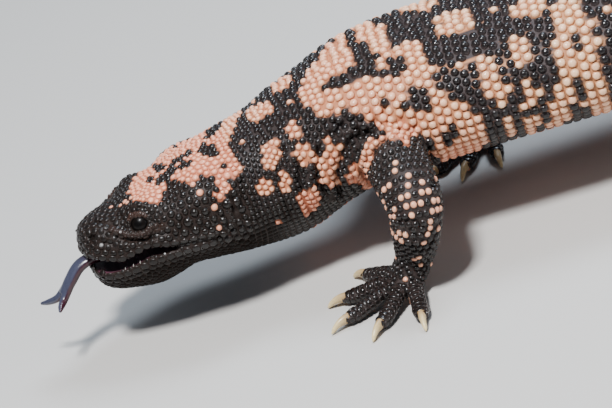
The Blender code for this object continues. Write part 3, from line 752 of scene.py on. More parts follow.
# The lowest that the skin comes to the floor.
SOLE_HEIGHT = 0.12


def make_skin():
    """One closed skin over head, body, legs and toes."""
    pieces = [make_head_loft(), body_loft("body_loft", NAPE_PLACE - 4.0, TAIL_END, 1.0, 150)]
    pieces += [lid_piece(hand) for hand in (1, -1)]
    for name, path in LEGS.items():
        pieces.append(loft(name, leg_rings(path, 56, 1.0, -COAT_DEPTH["leg"])[1]))
        pieces += [toe_loft(toe, -COAT_DEPTH["toe"]) for toe in toe_layout(name)]
    skin = join_pieces("skin", pieces)
    modify(skin, "REMESH", mode="VOXEL", voxel_size=SKIN_VOXEL * MM)
    mesh = skin.data
    points, edges = mesh_points(mesh), mesh_edges(mesh)
    points = smooth_points(points, edges, 3, np.full(len(points), 0.5))
    joints = np.zeros(len(points))
    for path in LEGS.values():
        for row, reach in SMOOTHED_JOINTS.items():
            away = np.linalg.norm(points - np.array(path[row][:3]), axis=1)
            joints = np.maximum(joints, 0.6 * (1 - smooth_step(away, reach * 0.7, reach)))
    points = smooth_points(points, edges, 40, joints)
    points[:, 2] = np.maximum(points[:, 2], SOLE_HEIGHT)
    set_points(mesh, points)
    return skin


def thin_skin(skin):
    """Takes triangles out of the skin until its number of them is left."""
    triangles = sum(len(face.vertices) - 2 for face in skin.data.polygons)
    modify(skin, "DECIMATE", ratio=min(1.0, SKIN_TRIANGLES / triangles))
    skin.data.shade_smooth()


class Surface:
    """The skin as a surface to set beads on."""

    def __init__(self, mesh):
        self.points = mesh_points(mesh)
        self.normals = mesh_normals(mesh)
        self.faces = [tuple(face.vertices) for face in mesh.polygons]
        self.tree = BVHTree.FromPolygons([tuple(point) for point in self.points], self.faces)

    def nearest(self, points):
        """The nearest skin points with smooth outward directions."""
        found = np.empty((len(points), 3))
        ways = np.empty((len(points), 3))
        for number, point in enumerate(points):
            place, _, face, _ = self.tree.find_nearest(Vector(point))
            corners = list(self.faces[face])
            closeness = 1 / (np.linalg.norm(self.points[corners] - np.array(place), axis=1) + 0.05)
            found[number] = place
            ways[number] = closeness @ self.normals[corners]
        return found, unit(ways)


# What is known of each bead's root, and how many numbers that takes. Bend tells how fast the skin bends away
# beside the bead, wide how much wider than long it is, and bake where it is on the bake map.
ROOT_VALUES = {
    "place": (3,), "way": (3,), "along": (3,), "spacing": (), "height": (), "bend": (),
    "wide": (), "pointed": (), "bake": (2,),
}


class Roots:
    """Where beads grow, one row for each bead, and the leg or part of the body that it belongs to."""

    def __init__(self):
        self.rows = {name: np.zeros((0, *shape)) for name, shape in ROOT_VALUES.items()}
        self.region = np.zeros(0, dtype=object)

    def add(self, region, place, way, along, spacing, height, bend, bake, wide=1.0, pointed=0.0):
        along = unit(along - np.sum(along * way, axis=1, keepdims=True) * way)
        values = (place, way, along, spacing, height, bend, wide, pointed, bake)
        for (name, shape), value in zip(ROOT_VALUES.items(), values):
            block = np.broadcast_to(np.asarray(value, float), (len(place), *shape))
            self.rows[name] = np.concatenate((self.rows[name], block))
        self.region = np.concatenate((self.region, np.full(len(place), region, dtype=object)))

    def keep(self, chosen):
        self.rows = {name: block[chosen] for name, block in self.rows.items()}
        self.region = self.region[chosen]

    def belong(self, start):
        """Which beads belong to regions whose name starts this way."""
        return np.array([region.startswith(start) for region in self.region])


LEG_NAMES = list(LEGS)


def map_places(left, width, angles, low, rise):
    """Places on the bake map: round the body or limb from left to right, and along it upward."""
    return np.stack((left + width * (angles / (2 * math.pi) % 1.0), low + rise), axis=-1)


def body_bake(places, angles):
    return map_places(0.02, 0.56, angles, 0.02, 0.96 * places / TAIL_END)


def leg_bake(name, shares, angles):
    return map_places(0.61 + 0.095 * LEG_NAMES.index(name), 0.085, angles, 0.02, 0.44 * shares)


def toe_bake(name, number, shares, angles):
    left = 0.61 + 0.095 * LEG_NAMES.index(name)
    return map_places(left, 0.085, angles, 0.49 + 0.1 * number, 0.085 * np.clip(shares, 0, 1.1))


def arc_angles(place, count, offset, start=-math.pi / 2):
    """Angles that part the ring at a place into equal lengths, with the ring's own length."""
    fine = np.linspace(start, start + 2 * math.pi, 361)
    ring = section_points(np.full(len(fine), place), fine)
    lengths = lengths_along(ring)
    wanted = (np.arange(count) + offset) / count * lengths[-1]
    return np.interp(wanted % lengths[-1], lengths, fine), lengths[-1]


# Rings of beads round the body: where they start, how many beads, and the step to the next ring in beads.
BEADS_ROUND = (
    (NAPE_PLACE - 5.0, 70, 0.90),
    (NAPE_PLACE + 23.0, 61, 0.98),
    (NAPE_PLACE + 75.0, 61, 0.97),
    (NAPE_PLACE + 235.0, 44, 1.0),
    (NAPE_PLACE + 327.0, 32, 0.90),
    (NAPE_PLACE + 359.0, 20, 0.87),
)
RANDOM = np.random.default_rng(7)


# A bead is left out where the skin lies further than this over its row, as where a leg covers the trunk.
BURIED = 1.8
TOE_BURIED = 1.0


def land(surface, wanted, buried):
    """The skin under the wanted points, the ways out of it, and which points don't lie buried under it."""
    found, way = surface.nearest(wanted)
    return found, way, np.sum((wanted - found) * way, axis=1) > -buried


def add_body_rows(roots, surface):
    """Rows of beads round neck, trunk and tail, each row shifted by half a bead."""
    place, row = NAPE_PLACE - 4.0, 0
    while place < TAIL_END - 0.8:
        count, step = [sizes for start, *sizes in BEADS_ROUND if place >= start][-1]
        angles, length = arc_angles(place, count, 0.0)
        spacing = length / count
        # Rows are shifted by half a bead on the back, and stand in line on the lower flank and belly.
        low = smooth_step(-np.sin(angles), -0.25, 0.15)
        # On top of the back they lie less regularly.
        back = smooth_step(np.sin(angles), 0.2, 0.7)
        shift = (0.25 if row % 2 else -0.25) * (1 - low)
        shift += RANDOM.normal(0.0, 1.0, count) * (0.035 + 0.05 * back)
        angles = angles + shift * 2 * math.pi / count
        places = place + RANDOM.normal(0.0, 1.0, count) * (0.05 + 0.07 * back) * spacing
        wanted = section_points(places, angles, -COAT_DEPTH["body"])
        ahead = section_points(places + 0.5, angles, -COAT_DEPTH["body"])
        found, way, keep = land(surface, wanted, BURIED)
        # Beads are round on the back and become low square plates on the lower flank and belly.
        low = smooth_step(-np.sin(angles), -0.05, 0.6)
        height = spacing * (0.44 - 0.24 * low)
        bend = 0.5 / max(6.0, length / 2 / math.pi)
        roots.add("body", found[keep], way[keep], (ahead - wanted)[keep], spacing, height[keep], bend,
                  body_bake(places, angles)[keep])
        place += spacing * step
        row += 1


# Rows of beads round a leg: a bead's width, where they start, and height and step as shares of the width.
LEG_PITCH = 2.4
LEG_ROWS_START = 9.0
LEG_BEAD_HEIGHT = 0.40
LEG_ROW_STEP = 0.866


def add_leg_rows(roots, surface):
    """Rows of beads round each leg down to the palm."""
    for name, path in LEGS.items():
        places, rings = leg_rings(path, 96, 0.5, -COAT_DEPTH["leg"])
        place, row = LEG_ROWS_START, 0
        while place < places[-1]:
            index = min(int(place / places[-1] * (len(places) - 1)), len(places) - 2)
            ring = np.vstack((rings[index], rings[index][:1]))
            after = np.vstack((rings[index + 1], rings[index + 1][:1]))
            lengths = lengths_along(ring)
            count = round(lengths[-1] / LEG_PITCH)
            wanted_lengths = (np.arange(count) + 0.5 * (row % 2)) / count * lengths[-1]
            share = wanted_lengths / lengths[-1]
            wanted = between_rows(wanted_lengths, lengths, ring)
            ahead = between_rows(wanted_lengths, lengths, after)
            found, way, keep = land(surface, wanted, BURIED)
            spacing = lengths[-1] / count
            bend = 0.5 / (lengths[-1] / 2 / math.pi)
            height = spacing * LEG_BEAD_HEIGHT
            bake = leg_bake(name, np.full(count, place / places[-1]), share * 2 * math.pi)
            roots.add(name, found[keep], way[keep], (ahead - wanted)[keep], spacing, height, bend, bake[keep])
            place += spacing * LEG_ROW_STEP
            row += 1


# Rows of scales round a toe: their length, their start and share along it, and the radius they bend round.
TOE_BAND = 1.95
TOE_SCALES_START = 0.16
TOE_SCALES_SHARE = 0.77
TOE_RADIUS = 2.6
# Scales in a toe's row: degrees from its side up, how far forward, size, width and height.
TOE_SCALES = (
    (90.0, 0.0, 1.0, 2.5, 0.62),
    (-2.0, 0.02, 1.0, 1.0, 0.42),
    (182.0, 0.02, 1.0, 1.0, 0.42),
    (-50.0, 0.0, 0.9, 1.0, 0.2),
    (-90.0, 0.0, 0.9, 1.0, 0.15),
    (-130.0, 0.0, 0.9, 1.0, 0.2),
)
# How pointed a scale is: below zero it is a flat plate, and above zero a cone.
FLAT = -0.75


def add_toe_rows(roots, surface):
    """Wide band scales over each toe, with smaller ones beside and under them."""
    degrees, advance, size, wide, height = np.array(TOE_SCALES).T
    angles = np.radians(degrees)
    for name in LEGS:
        for number, toe in enumerate(toe_layout(name)):
            steps = round(toe[2] * TOE_SCALES_SHARE / TOE_BAND)
            for row in range(steps + 1):
                shares = TOE_SCALES_START + TOE_SCALES_SHARE * row / steps + advance
                wanted = toe_points(toe, shares, angles, -COAT_DEPTH["toe"])
                found, way, keep = land(surface, wanted, TOE_BURIED)
                along = np.broadcast_to(toe[1], found.shape)
                bake = toe_bake(name, number, shares, angles)
                roots.add(name + "_toe", found[keep], way[keep], along[keep], (TOE_BAND * size)[keep],
                          height[keep], 0.5 / TOE_RADIUS, bake[keep], wide[keep], FLAT)


def head_places(points):
    """Points in the head's own directions: forward of the nape, side and level."""
    origin, forward = in_head(0.0, 0.0, 0.0), unit(in_head(1.0, 0.0, 0.0) - in_head(0.0, 0.0, 0.0))
    left = unit(in_head(30.0, 1.0, 0.0) - in_head(30.0, 0.0, 0.0))
    up = unit(in_head(30.0, 0.0, 1.0) - in_head(30.0, 0.0, 0.0))
    away = points - origin
    return away @ forward, away @ left, away @ up


def head_bake(points):
    """The place of points of the head on the bake map."""
    forward, side, level = head_places(points)
    return body_bake(NAPE_PLACE - forward, np.arctan2(level, side))


# The head's scales round named places: forward, side, level, reach, spacing, height, how pointed.
HEAD_SCALES = {
    "eye": (39.9, 18.0, 5.8, 5.0, 1.3, 0.30, FLAT),
    "under the eye": (37.2, 20.0, -0.5, 3.5, 1.7, 0.34, FLAT),
    "in front of the eye": (46.8, 15.0, 2.0, 4.0, 2.1, 0.42, FLAT),
    "nostril": (56.4, 10.5, 5.0, 3.0, 2.0, 0.42, FLAT),
    "snout top": (53.0, 4.0, 7.5, 7.0, 2.7, 0.62, -0.5),
    "brow": (37.2, 13.0, 12.5, 4.5, 2.0, 0.55, -0.4),
    "crown": (26.7, 0.0, 15.0, 14.0, 1.95, 0.55, 0.0),
    "temple": (14.0, 20.0, 10.0, 7.0, 2.6, 0.95, 0.3),
    "cheek": (20.0, 24.0, 0.0, 9.0, 3.4, 1.40, 0.8),
    "jaw": (23.0, 22.0, -12.0, 7.0, 2.4, 0.40, FLAT),
    "throat": (28.6, 6.0, -19.5, 14.0, 2.1, 0.40, FLAT),
    "chin": (51.5, 8.0, -14.0, 6.0, 2.2, 0.40, FLAT),
    "nape": (-2.0, 0.0, 16.0, 10.0, 2.5, 0.90, 0.0),
}


def head_scales(points):
    """Spacing, height and pointedness of the head's scales at some points."""
    forward, side, level = head_places(points)
    total, weights = np.zeros((len(points), 3)), np.zeros((len(points), 1))
    for where, beside, height, reach, *values in HEAD_SCALES.values():
        away = (forward - where) ** 2 + (np.abs(side) - beside) ** 2 + (level - height) ** 2
        weight = (1 / (away / reach**2 + 0.05) ** 2)[:, None]
        total += weight * np.array(values)
        weights += weight
    return (total / weights).T


# Rows of scales along the lips: the lip, level above it, length of each scale, height.
LIP_ROWS = (
    (UPPER_LIP, 1.25, 3.0, 0.45),
    (UPPER_LIP, 3.5, 2.35, 0.75),
    (LOWER_LIP, -1.35, 3.0, 0.45),
    (LOWER_LIP, -3.7, 2.5, 0.60),
)


# Where the rows along the lips start and end, forward of the nape.
LIP_FRONT = 58.6
LIP_BACK = 17.0
# Rings of scales round each eye: radius, how many, and how far the ring is turned, in scales.
EYE_RINGS = ((3.9, 22, 0.0), (5.1, 24, 0.5))


def add_lip_rows(roots, surface):
    """Rows of larger scales along each lip, and small rings of scales round each eye."""
    for hand in (1, -1):
        for lip, offset, step, height in LIP_ROWS:
            wanted = []
            for forward in np.arange(LIP_FRONT, LIP_BACK, -step):
                level = float(lip_level(lip, forward)) + offset
                wanted.append(head_surface(forward, level, hand)[0])
            found, way = surface.nearest(np.array(wanted))
            along = np.gradient(found, axis=0)
            roots.add("head", found, way, along, step, height, SLIGHT_BEND, head_bake(found), 0.8, -0.3)
        centre, out = eye_centre(hand)
        turn = turn_towards(out)
        for radius, count, offset in EYE_RINGS:
            turns = (np.arange(count) + offset) / count * 2 * math.pi
            rim = np.cos(turns)[:, None] * turn[:, 0] + np.sin(turns)[:, None] * turn[:, 1]
            wanted = centre + rim * radius + out * (EYE_DEPTH + 0.9)
            found, way = surface.nearest(wanted)
            spacing, along = 2 * math.pi * radius / count, np.cross(way, rim)
            roots.add("head", found, way, along, spacing, 0.32, 0.05, head_bake(found), 1.0, FLAT)


# The spine is searched in blocks of points, so that the search stays small.
BLOCK = 2000


def spine_search(points, skip):
    """The nearest row of the spine's tables for each point, and the angle round it. Skips rows for speed."""
    index = np.empty(len(points), int)
    for start in range(0, len(points), BLOCK):
        block = points[start:start + BLOCK]
        away = np.linalg.norm(block[:, None] - MIDDLES[::skip][None], axis=2)
        index[start:start + BLOCK] = away.argmin(axis=1) * skip
    offset = points - MIDDLES[index]
    return index, np.arctan2(np.sum(offset * UPS[index], axis=1), np.sum(offset * LEFTS[index], axis=1))


def region_of(points):
    """Whether each point is on head or body, with its place on the bake map and the way along the spine."""
    index, angles = spine_search(points, 8)
    after = np.minimum(index + 4, len(MIDDLES) - 1)
    alongs = MIDDLES[after] - MIDDLES[np.maximum(after - 8, 0)]
    regions = np.where(FINE[index] < NAPE_PLACE - 1.0, "head", "body").astype(object)
    return regions, body_bake(FINE[index], angles), alongs


def skin_samples(surface, count, before_x=None):
    """Random points spread evenly over the skin's faces, or only over those in front of an X."""
    triangles = np.array([
        (face[0], face[i], face[i + 1]) for face in surface.faces for i in range(1, len(face) - 1)
    ])
    a, b, c = (surface.points[triangles[:, corner]] for corner in range(3))
    area = np.linalg.norm(np.cross(b - a, c - a), axis=1)
    if before_x is not None:
        area = area * ((a + b + c)[:, 0] / 3 < before_x)
    chosen = RANDOM.choice(len(triangles), count, p=area / area.sum())
    u, v = RANDOM.random(count), RANDOM.random(count)
    over = u + v > 1
    u[over], v[over] = 1 - u[over], 1 - v[over]
    points = a[chosen] + u[:, None] * (b - a)[chosen] + v[:, None] * (c - a)[chosen]
    ways = surface.normals[triangles[chosen, 0]]
    return points, ways


# The nearest that beads may lie, as shares of their mean size: beads in rows, even scales and granules.
ROW_NEARNESS = 0.72
EVEN_NEARNESS = 0.8
GRANULE_NEARNESS = 0.86
# The search for near beads looks through cubes of this size.
CELL = 4.0
NEAR_CELLS = list(product((0, -1, 1), repeat=3))


def spread(taken, spacings, candidates, wanted, nearness):
    """Takes each candidate that isn't too near to a point already taken. Returns the chosen numbers."""
    grid = {}

    def put(point, size):
        key = tuple(int(value // CELL) for value in point)
        grid.setdefault(key, []).append((*point, size))

    def is_free(point, size):
        x, y, z = point
        i, j, k = (int(value // CELL) for value in point)
        for di, dj, dk in NEAR_CELLS:
            for ox, oy, oz, other in grid.get((i + di, j + dj, k + dk), ()):
                limit = nearness * 0.5 * (size + other)
                if (x - ox) ** 2 + (y - oy) ** 2 + (z - oz) ** 2 < limit * limit:
                    return False
        return True

    for point, size in zip(taken.tolist(), spacings.tolist()):
        put(point, size)
    chosen = []
    for number, (point, size) in enumerate(zip(candidates.tolist(), wanted.tolist())):
        if is_free(point, size):
            put(point, size)
            chosen.append(number)
    return np.array(chosen, int)


def point_tree(points):
    """A search tree of points, numbered in their order."""
    tree = KDTree(len(points))
    for number, point in enumerate(points):
        tree.insert(point, number)
    tree.balance()
    return tree


def find_neighbours(points, count):
    """The numbers of each point's nearest other points."""
    tree = point_tree(points)
    found = np.empty((len(points), count), int)
    for number, point in enumerate(points):
        found[number] = [hit[1] for hit in tree.find_n(point, count + 1)][1:]
    return found


def nearest_numbers(places, points):
    """The number of the place that lies nearest to each point."""
    tree = point_tree(places)
    return np.array([tree.find(point)[1] for point in points])


# Beads are pushed apart in rounds: to this share of their spacing, by at most this share of it, and by this
# share of all pushes together.
PUSH_ROUNDS = 9
PUSHED_APART = 1.08
PUSH_MOST = 0.6
PUSH_SHARE = 0.45


def relax(points, spacings, moving, surface):
    """Pushes beads apart until they share the space evenly. Only the moving ones move."""
    points = points.copy()
    index = np.flatnonzero(moving)
    for _ in range(PUSH_ROUNDS):
        near = find_neighbours(points, 8)[index]
        offset = points[index][:, None] - points[near]
        distance = np.linalg.norm(offset, axis=2)
        target = 0.5 * (spacings[index][:, None] + spacings[near]) * PUSHED_APART
        push = np.clip(1 - distance / target, 0.0, PUSH_MOST)
        pushes = offset / (distance[..., None] + 1e-6) * (push * target)[..., None]
        step = np.sum(pushes, axis=1) * PUSH_SHARE
        points[index], _ = surface.nearest(points[index] + step)
    return points


def reject_overlaps(roots):
    """Drops beads of later rows that lie on earlier ones, such as where a leg meets the trunk."""
    places, spacings = roots.rows["place"], roots.rows["spacing"]
    roots.keep(spread(np.zeros((0, 3)), np.zeros(0), places, spacings, ROW_NEARNESS))


def in_mouth(points):
    """Which points lie inside the mouth, and which lie in its hollow behind the lips."""
    forward, side, level = head_places(points)
    upper, lower = lip_level(UPPER_LIP, forward), lip_level(LOWER_LIP, forward)
    widths = read_table(SIZES, np.clip(NAPE_PLACE - forward, 0.0, NAPE_PLACE))[:, 0]
    hollow = mouth_hollow(forward)
    between = (level < upper + hollow + 0.4) & (level > lower - hollow - 0.4)
    deep = (np.abs(side) < widths - 2.2) & (forward > JAW_HINGE) & (forward < MOUTH_FRONT - 1.0)
    gap = (level < upper + 0.1) & (level > lower - 0.1) & (forward > JAW_HINGE)
    return (between & deep) | gap, between & deep


def in_holes(points):
    """Which points lie in the eye sockets, nostrils and ear slits."""
    inside = np.zeros(len(points), bool)
    for hand in (1, -1):
        centre = eye_centre(hand)[0]
        inside |= np.linalg.norm(points - centre, axis=1) < EYE_RADIUS + 0.35
        place = head_surface(NOSTRIL_FORWARD, NOSTRIL_LEVEL, hand)[0]
        inside |= np.linalg.norm(points - place, axis=1) < NOSTRIL_RADIUS * NOSTRIL_LONG
        place, out = head_surface(EAR_FORWARD, EAR_LEVEL, hand)
        local = (points - place) @ turn_towards(out)
        near_ear = (np.abs(local[:, 0]) < EAR_WIDTH * 1.2) & (np.abs(local[:, 1]) < EAR_HEIGHT)
        inside |= near_ear & (local[:, 2] > -5)
    return inside


def outside(points):
    """Which points lie on the outer skin, not in the mouth, nostrils, ears or eye sockets."""
    return ~(in_mouth(points)[0] | in_holes(points))


# Scales of the head differ in size by this share, and small granules of this size fill the gaps between them.
HEAD_UNEVEN = 0.2
GRANULE = 1.25
GRANULE_HEIGHT = 0.3
# How many random places are tried for granules, for the head's scales and for scales anywhere.
GRANULE_TRIES = 30000
HEAD_TRIES = 45000
ALL_TRIES = 60000
# How fast the skin bends away under a scale, as half of one over the radius: on head and body, and on limbs.
SLIGHT_BEND = 0.02
LIMB_BEND = 0.06


def add_granules(roots, surface, front):
    """Small granules between the head's scales."""
    points, ways = skin_samples(surface, GRANULE_TRIES, front)
    open_skin = outside(points)
    points, ways = points[open_skin], ways[open_skin]
    alongs, bakes = region_of(points)[2:0:-1]
    sizes = np.full(len(points), GRANULE)
    part = spread(roots.rows["place"], roots.rows["spacing"], points, sizes, GRANULE_NEARNESS)
    roots.add("head", points[part], ways[part], alongs[part], GRANULE, GRANULE_HEIGHT, SLIGHT_BEND,
              bakes[part], 1.0, FLAT)


def plan_beads(skin):
    """All bead roots: rows on body, legs and toes, rows round lips and lids, and even scales elsewhere."""
    surface = Surface(skin.data)
    roots = Roots()
    add_lip_rows(roots, surface)
    add_toe_rows(roots, surface)
    add_leg_rows(roots, surface)
    add_body_rows(roots, surface)
    reject_overlaps(roots)
    fixed = len(roots.region)

    front = NAPE[0] + 1.0
    head_points, head_ways = skin_samples(surface, HEAD_TRIES, front)
    more_points, more_ways = skin_samples(surface, ALL_TRIES)
    points = np.vstack((head_points, more_points))
    ways = np.vstack((head_ways, more_ways))
    regions, bakes, alongs = region_of(points)
    spacing, height, pointed = head_scales(points)
    spacing *= 1 + HEAD_UNEVEN * (2 * RANDOM.random(len(points)) - 1)
    rest = regions != "head"
    pointed[rest] = 0.0
    near = nearest_numbers(roots.rows["place"], points[rest])
    spacing[rest] = roots.rows["spacing"][near]
    height[rest] = roots.rows["height"][near]
    regions[rest] = roots.region[near]
    open_skin = outside(points)
    points, ways, regions, bakes, alongs, spacing, height, pointed = (
        block[open_skin] for block in (points, ways, regions, bakes, alongs, spacing, height, pointed)
    )
    chosen = spread(roots.rows["place"], roots.rows["spacing"], points, spacing, EVEN_NEARNESS)
    for region in sorted(set(regions[chosen])):
        part = chosen[regions[chosen] == region]
        bend = SLIGHT_BEND if region in ("head", "body") else LIMB_BEND
        roots.add(region, points[part], ways[part], alongs[part], spacing[part], height[part], bend,
                  bakes[part], 1.0, pointed[part])
    moving = np.arange(len(roots.region)) >= fixed
    places = relax(roots.rows["place"], roots.rows["spacing"], moving, surface)
    roots.rows["place"][moving], roots.rows["way"][moving] = surface.nearest(places[moving])
    roots.keep(outside(roots.rows["place"]))
    add_granules(roots, surface, front)
    return roots


def inside_outline(x, y, outline):
    """Which points lie inside a closed outline."""
    inside = np.zeros(len(x), bool)
    corners = np.array(outline, float)
    for (x1, y1), (x2, y2) in zip(corners, np.roll(corners, -1, axis=0)):
        crosses = (y1 > y) != (y2 > y)
        with np.errstate(divide="ignore", invalid="ignore"):
            meeting = (x2 - x1) * (y - y1) / (y2 - y1) + x1
        inside ^= crosses & (x < meeting)
    return inside


def inside_spots(x, y, spots):
    """Which points lie inside any of some oval spots: middle, width, height and turn in degrees."""
    inside = np.zeros(len(x), bool)
    for middle_x, middle_y, width, height, degrees in spots:
        turn = math.radians(degrees)
        across = (x - middle_x) * math.cos(turn) + (y - middle_y) * math.sin(turn)
        down = -(x - middle_x) * math.sin(turn) + (y - middle_y) * math.cos(turn)
        inside |= (2 * across / width) ** 2 + (2 * down / height) ** 2 < 1
    return inside


# Outlines and spots of the markings, given in the photograph's pixels.
PINK_CROWN = (
    (131, 199), (145, 203), (157, 202), (160, 195), (163, 190), (168, 184), (173, 180), (189, 181),
    (200, 178), (212, 178), (220, 185), (214, 196), (216, 200), (221, 204), (226, 204), (229, 197),
    (232, 191), (232, 185), (225, 181), (233, 175), (240, 173), (243, 165), (238, 158), (232, 154),
    (228, 142), (235, 130), (240, 118), (232, 104), (205, 118), (190, 130), (150, 150), (138, 172),
    (133, 180), (128, 190),
)
DARK_ON_CROWN = (
    (159, 168, 11, 10, 0), (166, 173, 15, 6, -40), (176, 162, 18, 6, -40), (187, 154, 16, 6, -35),
    (149, 181, 9, 5, -50), (160, 180, 12, 6, -50), (172, 174, 17, 5, -50), (185, 165, 14, 9, -10),
    (208, 151, 20, 13, 20), (214, 131, 24, 9, -50), (175, 146, 6, 4, 0), (195, 135, 6, 4, 0),
    (198, 176, 9, 3, -10), (224, 168, 6, 5, 0), (205, 190, 14, 14, 0),
)
PINK_DOTS = (
    (196, 185), (202, 195), (212, 209), (218, 228), (113, 207), (119, 206), (126, 203), (128, 204),
)
PALE_ON_BODY = (
    (261, 112, 31, 15, -25), (281, 85, 23, 14, -30), (272.5, 154.5, 19, 31, 0), (294.5, 131.5, 15, 20, 0),
    (306, 155.5, 20, 26, 0), (265.5, 187, 18, 17, 0), (286, 181, 15, 20, 0), (240.5, 112, 5, 12, 30),
    (328, 163, 13, 44, 8), (341, 151, 10, 20, 0), (308.5, 201, 25, 29, 20), (244, 142, 5, 5, 0),
    (290, 101, 6, 6, 0), (253.5, 103, 5, 5, 0), (280, 221.5, 5, 5, 0), (420, 7, 38, 11, -10),
    (456, 24, 42, 25, -8), (492, 11, 8, 6, 0), (530, 8, 42, 20, -12), (467, 55, 6, 6, 0), (461, 64, 6, 6, 0),
    (507, 88, 8, 8, 0), (537, 90, 7, 7, 0), (536, 103, 7, 7, 0), (538, 119, 7, 7, 0), (607, 9, 7, 7, 0),
    (510, 126, 16, 20, 10), (530, 128, 14, 18, 0),
)
DARK_ON_TRUNK = ((570, 10, 8, 6, 0), (575.5, 45, 13, 19, 0), (579, 85, 13, 28, 0))
SHOULDER_PATCH = (
    (300, 96), (305, 76), (315, 62), (335, 40), (352, 27), (365, 22), (372, 26), (388, 24), (384, 32),
    (385, 43), (395, 50), (405, 41), (414, 40), (424, 50), (430, 60), (433, 75), (434, 84), (440, 92),
    (450, 100), (460, 104), (470, 108), (482, 116), (487, 124), (491, 138), (484, 146), (462, 158),
    (430, 168),
    (405, 160), (392, 140), (380, 130), (368, 121), (366, 114), (345, 112), (333, 111), (331, 117),
    (322, 117), (312, 108), (303, 104), (297, 99),
)
DARK_ON_SHOULDER = (
    (352, 46, 18, 12, 20), (366, 46, 14, 8, -10), (348, 35, 10, 8, 0), (366, 60, 26, 18, 10),
    (376, 73, 54, 12, 2), (397, 66, 24, 18, 20), (336, 83, 26, 16, -20), (347, 80, 16, 10, -20),
    (418, 102, 31, 25, 20), (449, 136, 17, 20, 20), (421, 145, 27, 17, 15), (434, 160, 20, 8, 0),
    (381, 103, 8, 7, 0),
)
PALE_SHAPES = (
    ((366, 138), (389, 137), (384, 143), (373.5, 155), (369, 169), (370.5, 181), (376.6, 190), (347.5, 181),
     (346, 172), (361, 157), (364, 146)),
    ((320, 160), (324, 142), (331, 138), (336, 152), (346, 138), (347, 152), (338, 166), (337, 190),
     (329, 184), (319, 172)),
    ((504, 34), (511, 34), (520, 36), (526, 43), (533, 43), (532, 52), (531, 63), (530, 68), (516, 68),
     (510, 53), (505, 41)),
    ((476, 57), (486, 57), (495, 99), (485, 99)),
    ((485, 57), (495, 57), (505, 113), (497, 113)),
    ((498, 113), (514, 113), (514, 124), (498, 124)),
    ((522, 80), (533, 80), (533, 111), (522, 111)),
)
PALE_TRUNK = (
    (553, 10), (559, 0), (584, 0), (585, 10), (590, 16), (592, 26), (598, 34), (600, 48), (601, 66),
    (600, 80), (603, 87), (612, 85), (612, 114), (598, 115), (588, 110), (580, 103), (573, 104), (571, 116),
    (560, 126), (546, 127), (549, 112), (553, 102), (556, 86), (555, 60), (553, 40), (552, 20),
)
BLACK_ARM = (
    (373, 150), (382, 142), (399.6, 141.4), (411.8, 144.5), (425.6, 155.2), (433.2, 170.5), (440.9, 196.5),
    (442, 227), (440, 250), (434, 268), (390, 268), (393.5, 257.7), (395, 240.9), (384, 218), (377, 190.4),
    (370.5, 181.2), (369, 169),
)
ORANGE_ON_ARM = (
    (395, 160), (394, 167), (391, 182), (387, 187), (381, 193), (411, 180), (407, 187), (422, 185),
    (408, 195), (424, 192), (429, 192), (403, 202), (413, 203), (420, 205), (431, 200), (437, 200),
    (437, 206), (406, 210), (397, 209), (414, 211), (429, 212), (436, 212), (430, 218), (383, 201),
    (386, 210), (390, 218), (393, 215), (434, 179), (402, 230), (396, 232), (403, 237), (408, 236),
    (397, 238), (429, 230), (436, 229), (424, 236), (424, 241), (420, 257), (414, 261), (419, 264),
    (397, 257), (405, 278), (381, 251), (374, 293),
)
# A dot colours the nearest bead within this many pixels.
DOT_REACH = 6.5
# Below this line of the photograph all of the near foreleg is black but for its dots.
ARM_LINE = 190
BROWN_UNDER_EYE = ((112, 232), (122, 235), (135, 237), (146, 235), (153, 229), (163, 226))
BROWN_REACH = 4.0
# How dark the brown fold and the lids are, where black is 1.
BROWN_FOLD = 0.985
BROWN_LID = 0.965

# Folds of the skin: corners in the photograph, depth in millimetres, below zero if raised, width in pixels.
FOLDS = (
    (((385, 141), (374, 150), (368, 162), (367, 176), (372, 192)), 2.2, 5.0),
    (((386, 140), (372, 133), (358, 134), (347, 143), (340, 158), (337, 178), (340, 192)), 1.5, 4.5),
    (((372, 139), (362, 150), (355, 164), (352, 178)), 0.8, 2.6),
    (((379, 141), (368, 153), (361, 168), (361, 184)), 0.8, 2.6),
    (((388, 137), (378, 124), (368, 112)), 1.1, 3.0),
    (((393, 136), (389, 122), (384, 108)), 1.1, 3.0),
    (((399, 136), (401, 122), (401, 110)), 0.9, 3.0),
    (((407, 138), (414, 126), (418, 116)), 0.8, 3.0),
    (((338, 124), (354, 119), (372, 122), (388, 131)), 1.0, 3.2),
    (((330, 134), (342, 127), (356, 127), (372, 131)), 0.8, 2.8),
    (((428, 150), (434, 160), (437, 172), (436, 184)), 1.8, 4.5),
    (((318, 150), (317, 166), (319, 182), (326, 192)), 1.3, 4.0),
    (((300, 160), (299, 178), (303, 196), (312, 212)), 1.0, 4.0),
    (((281, 150), (278, 170), (282, 192), (290, 214)), 0.7, 4.0),
    (((399, 244), (410, 247), (422, 246), (431, 241)), 0.9, 2.4),
    (((398, 249), (408, 252), (420, 251), (429, 247)), 0.8, 2.2),
    (((400, 222), (408, 220), (416, 221), (421, 226)), 0.6, 2.4),
    (((112, 230), (122, 233), (135, 235), (146, 233), (152, 227)), -0.9, 3.0),
    (((116, 236), (128, 240), (142, 240), (155, 236), (168, 232)), 0.7, 2.4),
    (((101, 243), (116, 243), (130, 240)), 0.5, 2.4),
    (((96, 222), (104, 226), (112, 230)), 0.5, 2.4),
    (((124, 213), (131, 207), (141, 205), (152, 209)), -0.5, 3.0),
    (((176, 247), (190, 243), (204, 240), (220, 238)), 0.8, 3.0),
    (((228, 186), (227, 200), (229, 214), (233, 224)), -0.6, 3.2),
    (((241, 182), (243, 200), (242, 216)), 0.7, 3.5),
)


